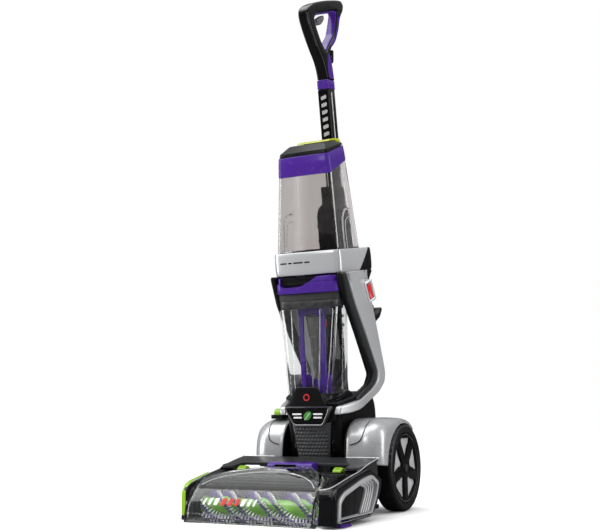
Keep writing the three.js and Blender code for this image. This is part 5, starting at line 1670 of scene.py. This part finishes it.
def clean_tank():
    """The smoky clean tank, its purple band, and the ribs moulded into its sides."""
    def section(z, gone):
        """A section of the shell, which slopes more the higher it lies."""
        return clean_ring(z, gone, 0.36 * max(0, (z - 528) / (BAND_LOW - 528)))

    heights = [(CLEAN_LOW, 3), (521, 1.4), (523, 0.4), (528, 0), (560, 0), (610, 0), (660, 0), (690, 0)]
    outer = [section(z, gone) for z, gone in [*heights, (BAND_LOW, 0)]]
    wall = 2.6
    inner = [section(z, wall + gone) for z, gone in ((523, 3), (525, 1), (530, 0), (620, 0), (BAND_LOW, 0))]
    piece("clean_tank_shell", [vessel(outer, inner)], SMOKE, "clean_tank", ["clean_tank_shell"], angle=40)
    ribs = []
    for sign in (1, -1):
        for line, thick, sides in CLEAN_RIBS:
            arch = smooth_line([(sign * x, y, z) for x, y, z in line], 6)
            ribs.append(tube(arch, thick, sides))
    piece("clean_tank_ribs", ribs, FROST, "clean_tank")
    band_rows = [
        (708.4, -0.4, 0.36), (709.4, -1.2, 0.36), (728, -1.2, 0.31), (747, -0.6, 0.255),
        (BAND_TOP, 0.8, 0.25),
    ]

    def band_ring(z, shrink, rise):
        """A section of the purple band."""
        half = 61 - (z - BAND_LOW) * 0.07
        return plan_ring(z, 84, 188, half, half, 8, 30, 4, rise, shrink)

    outside = [band_ring(*row) for row in band_rows]
    inside = [band_ring(709, 3, 0.36), band_ring(748, 4, 0.25)]
    piece("clean_tank_band", [sleeve(outside, inside)], PURPLE, "clean_tank", ["clean_tank_band"], angle=40)
    line = [p + Vector((0, 0, 0.9)) for p in band_ring(BAND_TOP, 1.2, 0.25)]
    line = [p for p in line if p.y > 92 and p.x > 0]
    piece("band_line", [tube(line, 1.3, 8)], SILVER, "clean_tank")
    square = rectangle(-50, -32, 535, 553)
    stem_line = [(-42.2, 542), (-40, 542), (-40, 550.5), (-41.6, 550.5), (-43.6, 548.8), (-42.2, 548.8)]
    frame_mark = slab(FRONT, rounded(square, 3), -0.3, 0.3, 0.15, 1, [rounded(offset(square, 1.3), 2.4)])
    stem = slab(FRONT, stem_line, -0.3, 0.3, 0.15, 1)
    foot = slab(FRONT, rounded(rectangle(-45, -37, 538, 539.4), 0.6), -0.3, 0.3, 0.15, 1)

    def on_front(co):
        """Lays a flat mark on the bowed front of the tank."""
        share = (co.z - CLEAN_LOW) / (BAND_LOW - CLEAN_LOW)
        half = 72 - 11 * share
        return Vector((co.x, co.y + 63.2 + 20 * share - 4 * (1 - (co.x / half) ** 2), co.z))

    piece("fill_mark", [shaped(part, on_front) for part in (frame_mark, stem, foot)], PRINT_WHITE,
          "clean_tank")


def tank_cap():
    """The faceted black cap, with bright wedges at its shoulders and an amber latch behind."""
    def ring(z, shrink, rise, front=84.0, bow=4.0):
        """A section of the cap."""
        return plan_ring(z, front, 188, 59, 59, 9, 28, bow, rise, shrink)

    rows = [ring(749.6, 2, 0.25), ring(752, 2.4, 0.25), ring(757.5, 4, 0.23), ring(760, 7.5, 0.2, 86)]
    rows += [ring(768, 14, 0.15, 90, 3), ring(772, 18, 0.135, 92, 2), ring(773, 22, 0.13, 94, 1)]
    piece("clean_tank_cap", [grid(rows, closed=True, caps=True)], BLACK, "clean_tank", ["clean_tank_cap"],
          bevel=1.2, angle=20)
    wedges = []
    for sign in (1, -1):
        rows = []
        for share in (0.0, 0.5, 1.0):
            x, y, z = sign * (52 - 20 * share), 128 + 52 * share, 762 + 24 * share
            corners = [(0, 0, 0), (5, 9, 6.5), (12, 12, 2), (6, 2, -4)]
            rows.append([(x - sign * inward, y + back, z + up) for inward, back, up in corners])
        wedges.append(grid(rows, closed=True, caps=True))
    piece("cap_wedges", wedges, SILVER, "clean_tank", levels=2)
    line = [
        (140, 779.8, 1), (142, 783, 2), (168, 788, 10), (194, 789, 6), (202, 784, 5), (202, 762, 2),
        (197, 762, 1),
        (196.6, 782, 5), (168, 783.6, 8),
    ]
    latch = slab(SIDE, rounded(line, 2), -38, 38, 1.0)
    piece("cap_latch", [latch], AMBER, "tank_latch", ["cap_latch"], angle=45)


# ---------- handle ----------

STICK_HALF = 12.5
GRIP_OUTER = [
    (216, 924.8, 1), (208, 958, 20), (177, 994, 24), (151, 1034, 20), (143, 1056, 14), (150, 1072, 14),
    (184, 1087, 20), (242, 1103, 30), (300, 1115.1, 14), (330, 1119.4, 8), (341.5, 1111, 7), (337, 1097, 8),
    (316, 1076, 12), (303, 1046, 12), (284, 1022, 10), (258, 1002, 10), (243, 984, 12), (250, 958, 14),
    (254, 924.8, 1),
]
GRIP_HOLE = [
    (226, 984, 8), (203, 1004, 14), (182, 1036, 12), (175, 1053, 10), (188, 1064, 10), (242, 1078, 20),
    (300, 1092, 8), (304, 1082, 8), (276, 1029, 12), (246, 1005, 12),
]


def stick():
    """The handle stick: a black tube whose face is cut by slots over a silver strip."""
    def ring(z, gone=0.0):
        """A section of the stick."""
        return plan_ring(z, 217 + gone, 256 - gone, STICK_HALF - gone, STICK_HALF - gone, 3, 9)

    rows = [ring(690, 1), ring(691), ring(740), ring(800), ring(860), ring(903), ring(904, 0.6)]
    grooves = []
    for sign in (1, -1):
        groove_line = rounded(rectangle(sign * 11.4, sign * 14, 770, 900), 0.3)
        grooves.append(slab(FRONT, groove_line, 228, 236, 0.2, 1))
    pole = carved(grid(rows, closed=True, caps=True), *grooves)
    piece("handle_stick", [pole], GLOSS, "upper_body", ["handle_stick"], angle=40)
    lines = [tube([(sign * 11.6, 232, 772), (sign * 11.6, 232, 898)], 2.0, 10) for sign in (1, -1)]
    piece("stick_side_lines", lines, SILVER, "upper_body")
    face_line = rounded(rectangle(-12.3, 12.3, 766, 903), 2)
    slots = []
    for k in range(7):
        z = 784 + 16 * k
        slots.append(rounded([(-6.5, z), (6.5, z + 3), (6.5, z + 11), (-6.5, z + 8)], 2.5))
    face = slab(FRONT, face_line, 213.6, 218, 1.0, 3, slots)
    piece("stick_face", [face], GLOSS, "upper_body", ["stick_face"], angle=45)
    back = slab(FRONT, rounded(rectangle(-9, 9, 780, 896), 2), 214.4, 217.4, 0.3)
    piece("stick_marks", [back], SILVER, "upper_body")
    rows = []
    for z, grow in ((752, 4), (770, 3), (780, 1.4), (784, 0)):
        rows.append(plan_ring(z, 196 - grow, 258 + 0.2 * grow, 18 + grow, 18 + grow, 6, 12))
    socket = grid(rows, closed=True, caps=True)
    piece("stick_socket", [socket], GLOSS, "upper_body", bevel=1.2, angle=30)


def sleeve_and_grip():
    """The purple sleeve, the looped grip, its purple lining and the trigger."""
    def ring(z, gone=0.0):
        """A section of the sleeve."""
        return plan_ring(z, 213.4 + gone, 257 - gone, 13.4 - gone, 13.4 - gone, 4, 9)

    rows = [ring(904.5, 0.6), ring(905.4), ring(923), ring(924.2, 0.8)]
    piece("handle_sleeve", [grid(rows, closed=True, caps=True)], PURPLE, "upper_body", ["handle_sleeve"],
          angle=40)
    loop = slab(SIDE, rounded(GRIP_OUTER, 8), -STICK_HALF, STICK_HALF, 4.2, 4, [rounded(GRIP_HOLE, 8)])
    piece("handle_grip", [loop], GLOSS, "upper_body", ["handle_grip"], angle=50)
    opening = [point[:2] for point in GRIP_HOLE]
    hole = rounded(offset(opening, 0.6), 9)
    lining = slab(SIDE, hole, -9.6, 9.6, 1.0, 3, [rounded(offset(opening, 3.6), 8)])
    back_strip = smooth_line([(256, 927), (253.6, 945), (250.5, 958), (244.5, 974), (245.5, 986)], 5)
    strip = slab(SIDE, band(back_strip, 3.2), -10.6, 10.6, 1.2, 3)
    piece("grip_liner", [lining, strip], PURPLE, "upper_body", ["grip_liner"], angle=45)
    panel_line = [(233, 985), (243, 974), (248.5, 955), (252, 928), (226, 928), (224, 950), (227, 972)]
    panel = rounded(panel_line, 5)
    panels = [slab(SIDE, panel, low, low + 1.6, 0.6) for low in (11.3, -12.9)]
    bar = band(smooth_line([(250, 1002.5), (266, 1013), (280, 1026), (294, 1048), (307, 1077)], 6), 7)
    panels += [slab(SIDE, bar, low, low + 1.8, 0.6) for low in (11.2, -13.0)]
    piece("neck_panels", panels, PURPLE, "upper_body", angle=45)
    ridge = []
    for sign in (1, -1):
        front = smooth_line([(214.5, 930), (205.5, 961), (174.5, 998), (148.5, 1038), (144, 1056)], 6)
        ridge.append(tube([(sign * 9.6, y + 2.2, z) for y, z in front], 1.4, 8))
    piece("grip_ridges", ridge, CHARCOAL, "upper_body")
    line = [
        (204, 1055, 4), (236, 1069.5, 3), (240.5, 1069, 2), (239.5, 1060, 4), (228, 1050, 8),
        (214, 1043, 6),
        (204, 1047, 4),
    ]
    trigger = slab(SIDE, rounded(line, 3), -6, 6, 1.6)
    piece("trigger", [trigger], GREY_TUBE, "trigger_body", ["trigger"], angle=45)


# ---------- what the frame already holds ----------

INNER_NODES = {
    "base_chassis": BLACK, "wheel_axle": STEEL, "motor_pulley": STEEL, "brush_motor": STEEL,
    "drive_belt": RUBBER, "suction_duct": CHARCOAL, "spray_bar": BLACK, "water_heater": STEEL,
    "water_pump": BLACK, "vacuum_motor": STEEL,
}


def inner_works():
    """Frame parts that mostly lie inside keep their shape, with softened edges and their finish."""
    for name, material in INNER_NODES.items():
        node = frame["nodes"][name]
        node.data.materials.clear()
        node.data.materials.append(material)
        soft = node.modifiers.new("rolled_edges", "BEVEL")
        soft.width, soft.segments, soft.limit_method = 0.5 * MM, 2, "ANGLE"


# ---------- the machine ----------

product_camera()
studio()
pale_floor()

nozzle_window()
window_marks()
brush_hood()
brush_roll("front_brush", "front_roll", 0.0)
brush_roll("rear_brush", "rear_roll", 0.9)
belt_cover()
left_end()
foot_cover()
for end in ("right", "left"):
    fender(end)
for end in ("right", "left"):
    wheel(end)
nozzle_latch()
release_tab("release_tab_right", 94)
release_tab("release_tab_left", -114)
spray_pedal()
edge_bristles()

collar()
rear_body()
arm("right")
arm("left")
power_switch()
neck_grille()
badge()
cord_hooks()
dirty_tank()
tank_lid()
tank_insides()
tank_plate()
clean_tank()
tank_cap()
stick()
sleeve_and_grip()
inner_works()
